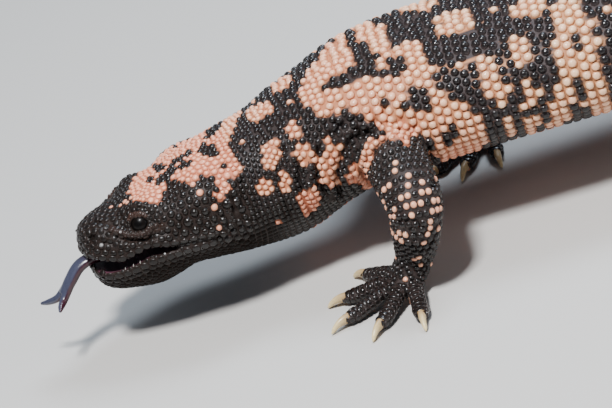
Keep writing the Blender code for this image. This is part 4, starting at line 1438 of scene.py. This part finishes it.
def seeded_noise(points, scale, seed):
    """Smooth noise from about -1 to 1, the same on every run."""
    away = Vector((seed * 17.3, seed * 5.1, seed * 11.7))
    return np.array([noise.noise(Vector(point) / scale + away) for point in points.tolist()])


# Bands of the rear trunk and tail: where they are counted from, a dark and a pale one together on trunk and
# tail, and where the tail's own bands come in, all behind the nape.
BANDS_FROM = 128.0
TRUNK_BAND = 40.0
TAIL_BAND = 32.0
TAIL_BANDS_FROM = (235.0, 255.0)


def species_pattern(places, points):
    """Dark and pale bands with ragged edges and mottled middles, as on a Gila monster's rump and tail."""
    behind = places - NAPE_PLACE
    ragged = 5.5 * seeded_noise(points, 15.0, 1) + 3.0 * seeded_noise(points, 6.0, 2)
    on_tail = smooth_step(behind, *TAIL_BANDS_FROM)
    period = TRUNK_BAND - (TRUNK_BAND - TAIL_BAND) * on_tail
    wave = np.sin(2 * math.pi * (behind + ragged - BANDS_FROM) / period)
    mottle = seeded_noise(points, 9.0, 3)
    return wave + 1.5 * mottle * (1 - 0.45 * on_tail) <= 0.18 + 0.12 * on_tail


def body_dark(x, y):
    """Whether a place of the photograph's left side is dark, on head, neck and trunk."""
    pale = inside_outline(x, y, PINK_CROWN) & ~inside_spots(x, y, DARK_ON_CROWN)
    pale |= inside_outline(x, y, SHOULDER_PATCH) & ~inside_spots(x, y, DARK_ON_SHOULDER)
    pale |= inside_spots(x, y, PALE_ON_BODY)
    pale |= inside_outline(x, y, PALE_TRUNK) & ~inside_spots(x, y, DARK_ON_TRUNK)
    for outline in PALE_SHAPES:
        pale |= inside_outline(x, y, outline)
    return ~(pale & ~inside_outline(x, y, BLACK_ARM))


# How far the black at the photograph's right edge goes on past it, in pixels.
BLACK_PAST_EDGE = 24
# The far side's markings lie this much further back than the near side's.
FAR_SIDE_SETBACK = 5.0


def look_up(points, ways, set_back):
    """Where to look in the photograph for each point's markings, and which points it says nothing of.

    A point on the side that the photograph doesn't show looks up its mirror place, set a little back.
    """
    index, angles = spine_search(points, 4)
    places = FINE[index]
    x, y = photo_places(points)
    facing = np.sum(ways * (VIEW_PLACE - points), axis=1) > 0
    other_places = np.maximum(places - set_back, 0.0)
    mirrored = section_points(other_places, math.pi - angles)
    ahead = section_points(other_places + 0.5, math.pi - angles)
    beside = section_points(other_places, math.pi - angles - 0.02)
    mirrored_way = unit(np.cross(ahead - mirrored, beside - mirrored))
    middle = read_table(MIDDLES, other_places)
    mirrored_way *= np.sign(np.sum(mirrored_way * (mirrored - middle), axis=1))[:, None]
    mirrored_seen = np.sum(mirrored_way * (VIEW_PLACE - mirrored), axis=1) > 0.15 * VIEW_DISTANCE
    mirror_x, mirror_y = photo_places(mirrored)
    x, y = np.where(facing, x, mirror_x), np.where(facing, y, mirror_y)
    told = (facing | mirrored_seen) & (x < PHOTO_SIZE[0] + BLACK_PAST_EDGE)
    return x, y, told, facing, places, angles


def line_distance(x, y, corners):
    """How far places are from a line through some corners, in pixels."""
    nearest = np.full(len(x), 1e9)
    for (x1, y1), (x2, y2) in zip(corners[:-1], corners[1:]):
        length = (x2 - x1) ** 2 + (y2 - y1) ** 2
        share = np.clip(((x - x1) * (x2 - x1) + (y - y1) * (y2 - y1)) / length, 0.0, 1.0)
        nearest = np.minimum(nearest, np.hypot(x - x1 - share * (x2 - x1), y - y1 - share * (y2 - y1)))
    return nearest


def fold_skin(skin):
    """Presses the named folds into the skin, and raises their edges a little."""
    points, ways = mesh_points(skin.data), mesh_normals(skin.data)
    front = np.flatnonzero(points[:, 0] < 60.0)
    x, y, told = look_up(points[front], ways[front], 0.0)[:3]
    grazing = np.abs(np.sum(ways[front] * unit(VIEW_PLACE - points[front]), axis=1))
    strength = smooth_step(grazing, 0.05, 0.35) * told
    depth = np.zeros(len(front))
    for corners, deep, width in FOLDS:
        away = line_distance(x, y, corners)
        depth += deep * (np.exp(-((away / width) ** 2)) - 0.35 * np.exp(-(((away - 2 * width) / width) ** 2)))
    points[front] -= (np.clip(depth, -1.2, 2.4) * strength)[:, None] * ways[front]
    set_points(skin.data, points)


def take_nearest(dark, x, y, chosen, dots, value=0.0):
    """Gives the nearest chosen bead to each dot the value, and each dot a bead of its own."""
    for dot_x, dot_y in dots:
        index = np.flatnonzero(chosen & (dark != value))
        away = np.hypot(x[index] - dot_x, y[index] - dot_y)
        if away.min() < DOT_REACH:
            dark[index[away.argmin()]] = value


def upper_lids(points):
    """Which points lie on the rim above an eye."""
    lids = np.zeros(len(points), bool)
    for hand in (1, -1):
        centre, out = eye_centre(hand)
        local = (points - centre) @ turn_towards(out)
        away = np.hypot(local[:, 0], local[:, 1])
        lids |= (away < LID_RADIUS + 1.1) & (local[:, 1] > 1.2) & (local[:, 2] > 0)
    return lids


def mark_beads(roots):
    """How dark each bead and the ground round it are, how warm its pale colour is, and how dull it is."""
    points, ways = roots.rows["place"], roots.rows["way"]
    x, y, told, facing, places, angles = look_up(points, ways, FAR_SIDE_SETBACK)
    dark = np.where(told, body_dark(x, y), species_pattern(places, points)).astype(float)
    legs = roots.belong(("left", "right"))
    arm = roots.belong("left_fore")
    dark = np.where((places < NAPE_PLACE + 8.0) & ~told, 1.0, dark)
    under_eye = line_distance(x, y, BROWN_UNDER_EYE) < BROWN_REACH
    dark = np.where(under_eye & told & ~legs & (dark > 0.5), BROWN_FOLD, dark)
    dark = np.where(upper_lids(points), BROWN_LID, dark)
    dark = np.where(legs, seeded_noise(points, 4.0, 5) < 0.34, dark)
    dark = np.where(arm & facing, np.where(y > ARM_LINE, 1.0, body_dark(x, y)), dark)
    on_leg = legs & ~(arm & facing & (y <= ARM_LINE))
    ground = np.where(on_leg, 1.0, dark)
    take_nearest(dark, x, y, told & ~legs, PINK_DOTS)
    take_nearest(dark, x, y, arm & facing, ORANGE_ON_ARM)
    warmth = 0.05 + 0.55 * (1 - smooth_step(places, NAPE_PLACE + 25, NAPE_PLACE + 130))
    warmth = np.where(places < NAPE_PLACE - 2, 1.0, warmth)
    warmth = np.where(legs, 0.7, warmth)
    warmth += 0.55 * smooth_step(-np.sin(angles), -0.1, 0.6) * ~legs
    warmth += RANDOM.normal(0.0, 0.08, len(points))
    forward, _, level = head_places(points)
    under_jaw = 1 - smooth_step(level - lip_level(LOWER_LIP, forward), -5.0, -1.0)
    dull = under_jaw * smooth_step(forward, -12.0, 2.0)
    dull = np.maximum(dull, 0.35 * smooth_step(forward, 28.0, 36.0))
    return {"dark": dark, "ground": ground, "warmth": np.clip(warmth, 0.0, 1.0), "dull": dull}


def bead_outlines(roots):
    """Each bead's edge in a ring of directions: half way to its neighbours, with rounded corners."""
    points, ways, alongs = (roots.rows[name] for name in ("place", "way", "along"))
    spacing = roots.rows["spacing"]
    around = np.cross(ways, alongs)
    near = find_neighbours(points, 12)
    offset = points[near] - points[:, None]
    flat = np.stack([np.sum(offset * way[:, None], axis=2) for way in (alongs, around)], axis=2)
    length = np.linalg.norm(offset, axis=2)
    flat = flat / np.maximum(np.linalg.norm(flat, axis=2), 1e-6)[..., None] * length[..., None]
    # A wide bead measures its surroundings with a ruler that is stretched across it.
    flat[..., 1] /= roots.rows["wide"][:, None]
    length = np.linalg.norm(flat, axis=2)
    same_side = np.sum(ways[near] * ways[:, None], axis=2) > 0.1
    turns = np.arange(BEAD_POINTS) / BEAD_POINTS * 2 * math.pi
    directions = np.stack((np.cos(turns), np.sin(turns)), axis=1)
    towards = np.einsum("nkc,jc->nkj", flat, directions)
    share = spacing[:, None] / (spacing[:, None] + spacing[near])
    limit = (length**2 * share)[..., None] / np.maximum(towards, 1e-6)
    limit = np.where((towards > 1e-3) & same_side[..., None], limit, 1e3)
    most = BEAD_MOST * spacing
    radius = (np.sum(limit**-CORNER_POWER, axis=1) + (most**-CORNER_POWER)[:, None]) ** (-1 / CORNER_POWER)
    radius = np.maximum(radius - BEAD_GAP / 2, BEAD_LEAST * spacing[:, None])
    return radius, directions, around


def set_values(mesh, **values_of):
    """Stores a number for each point of a mesh under each name."""
    for name, values in values_of.items():
        layer = mesh.attributes.new(name, "FLOAT", "POINT")
        layer.data.foreach_set("value", np.asarray(values, np.float32))


# The least bend that is reckoned with, and how much a bead's height may be of its radius.
FLATTEST_BEND = 0.002
TALLEST = 0.95


def make_coat(roots, looks, bead_material):
    """The beads as joined meshes, one for each length of the body and each leg."""
    radius, directions, around = bead_outlines(roots)
    places, ways, alongs, _, height, bend, wide, pointed, bake = roots.rows.values()
    count = len(places)
    chance = RANDOM.random(count)
    mean = radius.mean(axis=1)
    height = np.minimum(height, mean * TALLEST) * (0.88 + 0.24 * chance)
    bend_radius = 0.5 / np.maximum(bend, FLATTEST_BEND)[:, None]
    rings, rises, shares = [], [], []
    for share, rise, roundness in BEAD_PROFILE:
        reach = (radius * (1 - roundness) + mean[:, None] * 0.93 * roundness) * share
        offset_along = reach * directions[:, 0]
        offset_around = reach * directions[:, 1] * wide[:, None]
        height_here = height * (rise if rise < 0 else rise ** (1 + pointed))
        # Each bead bends round the limb or body that it lies on.
        turn = offset_around / bend_radius
        offset_around = (bend_radius + height_here[:, None]) * np.sin(turn)
        up = (bend_radius + height_here[:, None]) * np.cos(turn) - bend_radius
        rings.append(
            places[:, None] + offset_along[..., None] * alongs[:, None]
            + offset_around[..., None] * around[:, None] + up[..., None] * ways[:, None]
        )
        rises.append(np.full((count, BEAD_POINTS), max(rise, 0.0)))
        shares.append(share * directions)
    top = places + height[:, None] * 1.02 * ways
    points = np.concatenate((np.stack(rings, axis=1).reshape(count, -1, 3), top[:, None]), axis=1)
    rises = np.concatenate((np.stack(rises, axis=1).reshape(count, -1), np.ones((count, 1))), axis=1)
    patch = np.concatenate((np.concatenate(shares), np.zeros((1, 2)))) * BAKE_PATCH / 2
    per_point = points.shape[1]
    sides = ring_squares(len(BEAD_PROFILE), BEAD_POINTS)
    last = (len(BEAD_PROFILE) - 1) * BEAD_POINTS
    ring = np.arange(BEAD_POINTS)
    peak = np.full(BEAD_POINTS, per_point - 1)
    cap = np.stack((last + ring, last + (ring + 1) % BEAD_POINTS, peak), axis=1)
    groups = coat_groups(roots)
    for name in sorted(set(groups)):
        chosen = np.flatnonzero(groups == name)
        start = (np.arange(len(chosen)) * per_point)[:, None, None]
        faces = [(sides[None] + start).reshape(-1, 4), (cap[None] + start).reshape(-1, 3)]
        mesh = new_mesh(f"coat_{name}", points[chosen].reshape(-1, 3), faces)
        set_values(
            mesh,
            chance=np.repeat(chance[chosen], per_point),
            rise=rises[chosen].ravel(),
            **{look: np.repeat(values[chosen], per_point) for look, values in looks.items()},
        )
        layer = mesh.uv_layers.new(name="OFBake")
        corners = read_values(mesh.loops, "vertex_index", 1, int).ravel()
        places_on_map = (bake[chosen][:, None] + patch[None]).reshape(-1, 2)
        layer.data.foreach_set("uv", places_on_map[corners].astype(np.float32).ravel())
        mesh.materials.append(bead_material)
        piece = new_piece(f"coat_{name}", mesh)
        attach(piece, "root")
        print(piece.name, len(chosen), "beads", len(chosen) * (len(sides) * 2 + len(cap)), "triangles")


# Where each length of the coat behind the neck starts, as X.
COAT_STARTS = {
    "trunk_front": -2.0,
    "trunk_middle": 50.0,
    "trunk_rear": 100.0,
    "rump": 155.0,
    "tail_base": 210.0,
    "tail_middle": 262.0,
    "tail_tip": 302.0,
}


def coat_groups(roots):
    """The coat piece that each bead belongs to."""
    x = roots.rows["place"][:, 0]
    names = np.where(x < NAPE[0], "head", "neck").astype(object)
    for name, start in COAT_STARTS.items():
        names[x >= start] = name
    for name in LEG_NAMES:
        names[roots.belong(name)] = name
    return names


def principled(name):
    """A new material with its shader."""
    made = bpy.data.materials.new(name)
    made.use_nodes = True
    return made, made.node_tree, made.node_tree.nodes["Principled BSDF"]


def add_node(tree, kind, **values):
    """A new node with its settings."""
    node = tree.nodes.new(kind)
    for key, value in values.items():
        setattr(node, key, value)
    return node


def set_or_link(tree, socket, value):
    """Links a socket to another, or gives it a constant."""
    if isinstance(value, bpy.types.NodeSocket):
        tree.links.new(value, socket)
    elif isinstance(value, tuple):
        socket.default_value = (*value, 1.0)
    else:
        socket.default_value = value


def mix_colour(tree, factor, first, second, blend="MIX"):
    """A mix of two colours, each a socket or a value."""
    node = add_node(tree, "ShaderNodeMix", data_type="RGBA", blend_type=blend)
    for socket, value in ((node.inputs[0], factor), (node.inputs[6], first), (node.inputs[7], second)):
        set_or_link(tree, socket, value)
    return node.outputs[2]


def calculate(tree, operation, *values):
    """A sum or product of sockets and values."""
    node = add_node(tree, "ShaderNodeMath", operation=operation)
    for socket, value in zip(node.inputs, values):
        set_or_link(tree, socket, value)
    return node.outputs[0]


def attribute(tree, name):
    """A number that the mesh stores for each of its points."""
    return add_node(tree, "ShaderNodeAttribute", attribute_name=name).outputs["Fac"]


def noise_value(tree, scale, detail):
    """Noise by the place in the object, with a scale for metres."""
    node = add_node(tree, "ShaderNodeTexNoise")
    set_or_link(tree, node.inputs["Scale"], scale)
    node.inputs["Detail"].default_value = detail
    position = add_node(tree, "ShaderNodeNewGeometry").outputs["Position"]
    tree.links.new(position, node.inputs["Vector"])
    return node.outputs["Fac"]


def new_group(name, inputs, outputs):
    """A shader node group with named sockets, each given as its name and kind."""
    group = bpy.data.node_groups.new(name, "ShaderNodeTree")
    for way, sockets in (("INPUT", inputs), ("OUTPUT", outputs)):
        for socket, kind in sockets:
            group.interface.new_socket(name=socket, in_out=way, socket_type=f"NodeSocket{kind}")
    return group, add_node(group, "NodeGroupInput").outputs, add_node(group, "NodeGroupOutput").inputs


def fill_inputs(tree, node, **values):
    """Sets or links a node's inputs. Underlines in their names stand for spaces."""
    for name, value in values.items():
        set_or_link(tree, node.inputs[name.replace("_", " ")], value)
    return node.outputs


def place_group(tree, group, **values):
    """A group in a material, with its own values."""
    return fill_inputs(tree, add_node(tree, "ShaderNodeGroup", node_tree=group), **values)


def uneven_group():
    """A mottled colour and a finely uneven surface."""
    group, given, result = new_group(
        "uneven surface",
        (("Colour", "Color"), ("Mottle Scale", "Float"), ("Mottle Low", "Float"), ("Mottle Range", "Float"),
         ("Bump Scale", "Float"), ("Bump Strength", "Float"), ("Bump Distance", "Float")),
        (("Colour", "Color"), ("Mottle", "Float"), ("Normal", "Vector")),
    )
    mottle = noise_value(group, given["Mottle Scale"], 3.0)
    bright = calculate(group, "MULTIPLY_ADD", mottle, given["Mottle Range"], given["Mottle Low"])
    colour = mix_colour(group, 1.0, given["Colour"], bright, "MULTIPLY")
    bump = add_node(group, "ShaderNodeBump")
    group.links.new(noise_value(group, given["Bump Scale"], 3.0), bump.inputs["Height"])
    group.links.new(given["Bump Strength"], bump.inputs["Strength"])
    group.links.new(given["Bump Distance"], bump.inputs["Distance"])
    for socket, value in (("Colour", colour), ("Mottle", mottle), ("Normal", bump.outputs["Normal"])):
        group.links.new(value, result[socket])
    return group


def markings_group():
    """The colour of a pale or dark place, on the body or on the warmer head."""
    group, given, result = new_group(
        "markings",
        (("Dark", "Float"), ("Warmth", "Float"), ("Pale Body", "Color"), ("Pale Head", "Color"),
         ("Dark Body", "Color"), ("Dark Head", "Color")),
        (("Colour", "Color"),),
    )
    pale = mix_colour(group, given["Warmth"], given["Pale Body"], given["Pale Head"])
    black = mix_colour(group, given["Warmth"], given["Dark Body"], given["Dark Head"])
    group.links.new(mix_colour(group, given["Dark"], pale, black), result["Colour"])
    return group


CREAM = (0.95, 0.60, 0.37)
SALMON = (0.88, 0.37, 0.23)
# The pale grooves are the skin's own tan and orange, darkened further as painted shade between the beads.
PALE_GROOVE_AND_SHADE = (0.50, 0.235, 0.11)
SALMON_GROOVE_AND_SHADE = (0.52, 0.17, 0.09)
BLACK = (0.010, 0.0075, 0.0078)
HEAD_BLACK = (0.009, 0.0065, 0.0053)
GREY_GROOVE = (0.058, 0.044, 0.043)
BLACK_GROOVE = (0.021, 0.0135, 0.0110)
MOUTH_FLESH = (0.10, 0.035, 0.055)


def finish_surface(tree, shader, uneven, colour, **values):
    """Links a colour through the uneven surface to the shader. Returns the mottle."""
    surface = place_group(tree, uneven, Colour=colour, **values)
    tree.links.new(surface["Colour"], shader.inputs["Base Color"])
    tree.links.new(surface["Normal"], shader.inputs["Normal"])
    return surface["Mottle"]


def groove_colour_and_shade(tree, markings, ground, warmth):
    """The colour of the skin in the grooves between beads, darkened as painted shade where the markings are
    pale.
    """
    return place_group(tree, markings, Dark=ground, Warmth=warmth, Pale_Body=PALE_GROOVE_AND_SHADE,
                       Pale_Head=SALMON_GROOVE_AND_SHADE, Dark_Body=GREY_GROOVE, Dark_Head=BLACK_GROOVE)["Colour"]


def bead_material(uneven, markings):
    """Glossy beads, whose lower edge has the colour of the ground between them, which on pale beads is painted
    shade at their base.
    """
    made, tree, shader = principled("beads")
    warmth, dark, ground, dull, chance, rise = (
        attribute(tree, name) for name in ("warmth", "dark", "ground", "dull", "chance", "rise")
    )
    top = place_group(tree, markings, Dark=dark, Warmth=warmth, Pale_Body=CREAM, Pale_Head=SALMON,
                      Dark_Body=BLACK, Dark_Head=HEAD_BLACK)["Colour"]
    groove_and_shade = groove_colour_and_shade(tree, markings, ground, warmth)
    # Towards its base each bead takes the ground's colour: on pale beads this is painted shade, on dark ones
    # the lighter skin between them.
    edge = fill_inputs(
        tree, add_node(tree, "ShaderNodeMapRange", interpolation_type="SMOOTHSTEP"),
        Value=rise, From_Min=0.10, From_Max=0.93, To_Min=1.0, To_Max=0.0,
    )["Result"]
    mottle = finish_surface(
        tree, shader, uneven, mix_colour(tree, edge, top, groove_and_shade),
        Mottle_Scale=900.0, Mottle_Low=0.70, Mottle_Range=0.55,
        Bump_Scale=2600.0, Bump_Strength=0.25, Bump_Distance=0.0002,
    )
    rough = calculate(tree, "MULTIPLY_ADD", chance, 0.12, 0.15)
    rough = calculate(tree, "MULTIPLY_ADD", mottle, 0.08, rough)
    rough = calculate(tree, "MULTIPLY_ADD", dull, 0.20, rough)
    shine = calculate(tree, "MULTIPLY_ADD", dull, -0.40, 0.46)
    fill_inputs(tree, shader, Roughness=rough, Specular_IOR_Level=shine,
                Subsurface_Weight=0.04, Subsurface_Scale=0.001)
    return made


def skin_material(uneven, markings):
    """Duller skin between the beads, darkened as painted shade where it is pale, and wet flesh inside the
    mouth.
    """
    made, tree, shader = principled("skin_between_beads")
    ground, warmth, mouth = (attribute(tree, name) for name in ("ground", "warmth", "mouth"))
    # Where the markings are pale, this skin carries painted shade.
    colour = groove_colour_and_shade(tree, markings, ground, warmth)
    finish_surface(
        tree, shader, uneven, mix_colour(tree, mouth, colour, MOUTH_FLESH),
        Mottle_Scale=700.0, Mottle_Low=0.65, Mottle_Range=0.60,
        Bump_Scale=1600.0, Bump_Strength=0.5, Bump_Distance=0.0003,
    )
    fill_inputs(tree, shader, Roughness=0.5, Specular_IOR_Level=0.2)
    return made


def dress_skin(skin, roots, looks, skin_material):
    """Gives the skin the ground of the nearest bead, painted dark as shade in the holes, and replaces the
    solids of flesh with it.
    """
    points = mesh_points(skin.data)
    near = nearest_numbers(roots.rows["place"], points)
    shaded_holes = in_holes(points)
    # Nostrils, ear slits and eye sockets take the darkest ground: painted shade in the holes.
    ground, warmth = (np.maximum(looks[name][near], shaded_holes) for name in ("ground", "warmth"))
    set_values(skin.data, ground=ground, warmth=warmth, mouth=in_mouth(points)[1])
    skin.data.materials.clear()
    skin.data.materials.append(skin_material)
    skin.name = "skin"
    flesh = [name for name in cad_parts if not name.startswith("eye") and name != "tongue"]
    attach(skin, "root")
    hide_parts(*flesh)


def tongue_rings(rows, around, hand=1):
    """Flat oval rings along a path given in the head's own directions."""
    rows = np.array(rows)
    rows[:, 1] *= hand
    rows[:, 0] -= FORK_TURN * rows[:, 1]
    knots = lengths_along(rows[:, :3])
    rings = []
    for place in np.linspace(0.0, knots[-1], 10 * len(rows)):
        forward, side, level, width, thickness = curve_values(rows, knots, place)[0]
        behind, before = curve_values(rows[:, :3], knots, (place - 0.2, place + 0.2))
        ahead = unit(before - behind)
        across = unit(np.cross(ahead, np.cross((0.0, 1.0, 0.0), ahead)))
        thick = np.cross(across, ahead)
        angles = round_angles(around)[:, None]
        offset = width * np.cos(angles) * across + thickness * np.sin(angles) * thick
        local = np.array((forward, side, level)) + offset
        rings.append(in_head(local[:, 0], local[:, 1], local[:, 2]))
    return rings


TONGUE_VOXEL = 0.22
TONGUE_MAROON = (0.035, 0.006, 0.013)
TONGUE_SKY_REFLECTION = (0.046, 0.049, 0.080)
# A painted sky reflection makes the tongue bluish-grey where its surface faces this way.
SKY_REFLECTION_WAY = unit(np.array((-0.9, -0.35, 0.45)))


def make_tongue(uneven):
    """The forked tongue, dark maroon, with a painted bluish-grey sky reflection on the side that faces forward
    and up.
    """
    parts = [loft("stem", tongue_rings(TONGUE_STEM, 28))]
    parts += [loft("prong", tongue_rings(TONGUE_PRONG, 20, hand)) for hand in (1, -1)]
    tongue = join_pieces("forked_tongue", parts)
    modify(tongue, "REMESH", mode="VOXEL", voxel_size=TONGUE_VOXEL * MM)
    mesh = tongue.data
    points = smooth_points(mesh_points(mesh), mesh_edges(mesh), 6, np.full(len(mesh.vertices), 0.5))
    set_points(mesh, points)
    mesh.shade_smooth()
    # The painted sky reflection lies where the surface faces that way.
    set_values(mesh, blue=smooth_step(mesh_normals(mesh) @ SKY_REFLECTION_WAY, 0.3, 0.7))
    made, tree, shader = principled("wet_tongue")
    finish_surface(
        tree, shader, uneven, mix_colour(tree, attribute(tree, "blue"), TONGUE_MAROON, TONGUE_SKY_REFLECTION),
        Mottle_Scale=1100.0, Mottle_Low=0.65, Mottle_Range=0.70,
        Bump_Scale=2200.0, Bump_Strength=0.3, Bump_Distance=0.0002,
    )
    fill_inputs(tree, shader, Roughness=0.28, Coat_Weight=0.3, Coat_Roughness=0.12)
    mesh.materials.append(made)
    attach(tongue, "root")
    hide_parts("tongue")


EYE_BLACK = (0.003, 0.0025, 0.0025)
EYE_BROWN = (0.005, 0.0035, 0.003)
# The brown ring starts and ends softly, in degrees from the middle of the eye.
IRIS_STARTS = (17.0, 24.0)
IRIS_ENDS = (36.0, 46.0)


def make_eyes():
    """Nearly black, wet eyes with a faint brown ring."""
    made, tree, shader = principled("wet_eye")
    colour = mix_colour(tree, attribute(tree, "iris"), EYE_BLACK, EYE_BROWN)
    fill_inputs(tree, shader, Base_Color=colour, Roughness=0.32, Specular_IOR_Level=0.12,
                Coat_Weight=0.06, Coat_Roughness=0.05)
    for hand, side in ((1, "left"), (-1, "right")):
        centre, out = eye_centre(hand)
        eye = ball(f"eyeball_{side}", centre, np.full(3, EYE_RADIUS), turn_towards(out), 48, 64)
        points = mesh_points(eye.data)
        away = np.degrees(np.arccos(np.clip(unit(points - centre) @ out, -1, 1)))
        set_values(eye.data, iris=smooth_step(away, *IRIS_STARTS) * (1 - smooth_step(away, *IRIS_ENDS)))
        eye.data.materials.append(made)
        fix_normals(eye)
        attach(eye, "root")
        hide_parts(f"eye_{side}")


CLAW_RINGS = 18
CLAW_POINTS = 16
# A claw's root lies at this height and its tip lower by the drop, with an arch between.
CLAW_ROOT_HEIGHT = 2.9
CLAW_ARCH = 0.35
CLAW_DROP = 2.2
# A claw is narrower and taller than round, and rounded off beyond this share of its length.
CLAW_NARROW = 0.82
CLAW_TALL = 1.05
CLAW_ROUNDED_AT = 0.85
HORN_ROOT = (0.36, 0.22, 0.10)
HORN_TIP = (0.82, 0.66, 0.34)


def finish_horn(name, parts, material):
    """Joins claws or teeth into a finished piece."""
    piece = join_pieces(name, parts)
    piece.data.shade_smooth()
    piece.data.materials.append(material)
    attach(piece, "root")


def make_claws(uneven):
    """Curved claws of yellowish horn, five on each foot."""
    made, tree, shader = principled("claw_horn")
    along = attribute(tree, "along")
    finish_surface(
        tree, shader, uneven, mix_colour(tree, along, HORN_ROOT, HORN_TIP),
        Mottle_Scale=1500.0, Mottle_Low=0.75, Mottle_Range=0.5,
        Bump_Scale=1200.0, Bump_Strength=0.15, Bump_Distance=0.0002,
    )
    fill_inputs(tree, shader, Roughness=0.3)
    for name in LEGS:
        claws = []
        for root, way, length in toe_layout(name):
            rings = []
            for share in np.linspace(-0.12, 1.0, CLAW_RINGS):
                size = CLAW_ROOT * (1 - share) + CLAW_TIP * share
                size *= math.sqrt(max(0.05, 1 - (max(share, CLAW_ROUNDED_AT) - CLAW_ROUNDED_AT) / 0.155))
                beyond = max(share, 0.0)
                height = CLAW_ROOT_HEIGHT + CLAW_ARCH * math.sin(math.pi * beyond) - CLAW_DROP * beyond**2
                middle = root + way * (length + share * CLAW_LENGTH) + np.array((0.0, 0.0, height))
                across = np.array((-way[1], way[0], 0.0))
                angles = round_angles(CLAW_POINTS)[:, None]
                rise = np.array((0.0, 0.0, CLAW_TALL))
                rings.append(middle + size * (CLAW_NARROW * np.cos(angles) * across + np.sin(angles) * rise))
            claw = loft("claw", rings)
            set_values(claw.data, along=np.repeat(np.linspace(0.0, 1.0, CLAW_RINGS), CLAW_POINTS))
            claws.append(claw)
        finish_horn(f"claws_{name}", claws, made)


TOOTH_PLACES = (44.4, 46.8, 49.6)
TOOTH_HEIGHT = 1.1
TOOTH_RADIUS = 0.24
TOOTH_INSET = 1.6
TOOTH_SUNK = 0.3
TOOTH_CURVE = 0.3
TOOTH_COLOUR = (0.50, 0.46, 0.42)


def make_teeth():
    """Small curved teeth behind the lower lip, seen where the mouth is open."""
    made, tree, shader = principled("tooth")
    fill_inputs(tree, shader, Base_Color=TOOTH_COLOUR, Roughness=0.25)
    teeth = []
    for hand in (1, -1):
        for forward in TOOTH_PLACES:
            level = float(lip_level(LOWER_LIP, forward)) - TOOTH_SUNK
            side = hand * (head_side(forward, level) - TOOTH_INSET)
            angles = round_angles(10)
            rings = []
            for share in np.linspace(0.0, 1.0, 6):
                size = TOOTH_RADIUS * (1 - share) ** 0.7 + 0.02
                rings.append(in_head(
                    forward - TOOTH_CURVE * share**2 + size * np.cos(angles),
                    side + size * np.sin(angles),
                    np.full(len(angles), level + TOOTH_HEIGHT * share),
                ))
            teeth.append(loft("tooth", rings))
    finish_horn("teeth", teeth, made)


# The floor's half width in metres, its colour, and the studio's faint light from all round.
FLOOR_REACH = 3.0
FLOOR_COLOUR = (0.55, 0.53, 0.50)
STUDIO_COLOUR = (0.72, 0.82, 1.0)
STUDIO_STRENGTH = 0.17
# The lamps: place and size in metres, power in watts and colour.
LAMPS = {
    "key_light": ((-0.25, -0.45, 0.95), 0.16, 21.0, (0.97, 0.98, 1.0)),
    "top_light": ((0.25, 0.35, 0.9), 0.35, 9.0, (0.72, 0.85, 1.0)),
    "side_light": ((0.8, -0.5, 0.4), 0.4, 2.0, (0.95, 0.97, 1.0)),
}


def make_stage():
    """A pale floor with soft light from above and both sides."""
    mesh = bpy.data.meshes.new("floor")
    reach = FLOOR_REACH
    corners = [(-reach, -reach, 0), (reach, -reach, 0), (reach, reach, 0), (-reach, reach, 0)]
    mesh.from_pydata(corners, [], [(0, 1, 2, 3)])
    floor = new_piece("floor", mesh)
    made, tree, shader = principled("pale_floor")
    fill_inputs(tree, shader, Base_Color=FLOOR_COLOUR, Roughness=0.85)
    mesh.materials.append(made)
    world = bpy.data.worlds.new("studio")
    bpy.context.scene.world = world
    world.use_nodes = True
    background = world.node_tree.nodes["Background"]
    fill_inputs(world.node_tree, background, Color=STUDIO_COLOUR, Strength=STUDIO_STRENGTH)
    for name, (place, size, energy, colour) in LAMPS.items():
        light = bpy.data.lights.new(name, "AREA")
        light.size = size
        light.energy = energy
        light.color = colour
        lamp = new_piece(name, light)
        lamp.location = place
        lamp.rotation_euler = (-Vector(place)).to_track_quat("-Z", "Y").to_euler()


def make_camera():
    """The camera of the photograph's view."""
    data = bpy.data.cameras.new("camera")
    data.sensor_width = SENSOR_WIDTH
    data.lens = PIXELS_PER_MM * VIEW_DISTANCE * SENSOR_WIDTH / PHOTO_SIZE[0]
    camera = new_piece("camera", data)
    turn = Matrix((VIEW_RIGHT, VIEW_UP, -VIEW_WAY)).transposed().to_4x4()
    camera.matrix_world = Matrix.Translation(Vector((VIEW_PLACE + SHIFT) * MM)) @ turn
    bpy.context.scene.camera = camera


make_camera()
make_stage()
skin = make_skin()
fold_skin(skin)
thin_skin(skin)
roots = plan_beads(skin)
looks = mark_beads(roots)
uneven = uneven_group()
markings = markings_group()
make_coat(roots, looks, bead_material(uneven, markings))
dress_skin(skin, roots, looks, skin_material(uneven, markings))
make_tongue(uneven)
make_eyes()
make_claws(uneven)
make_teeth()
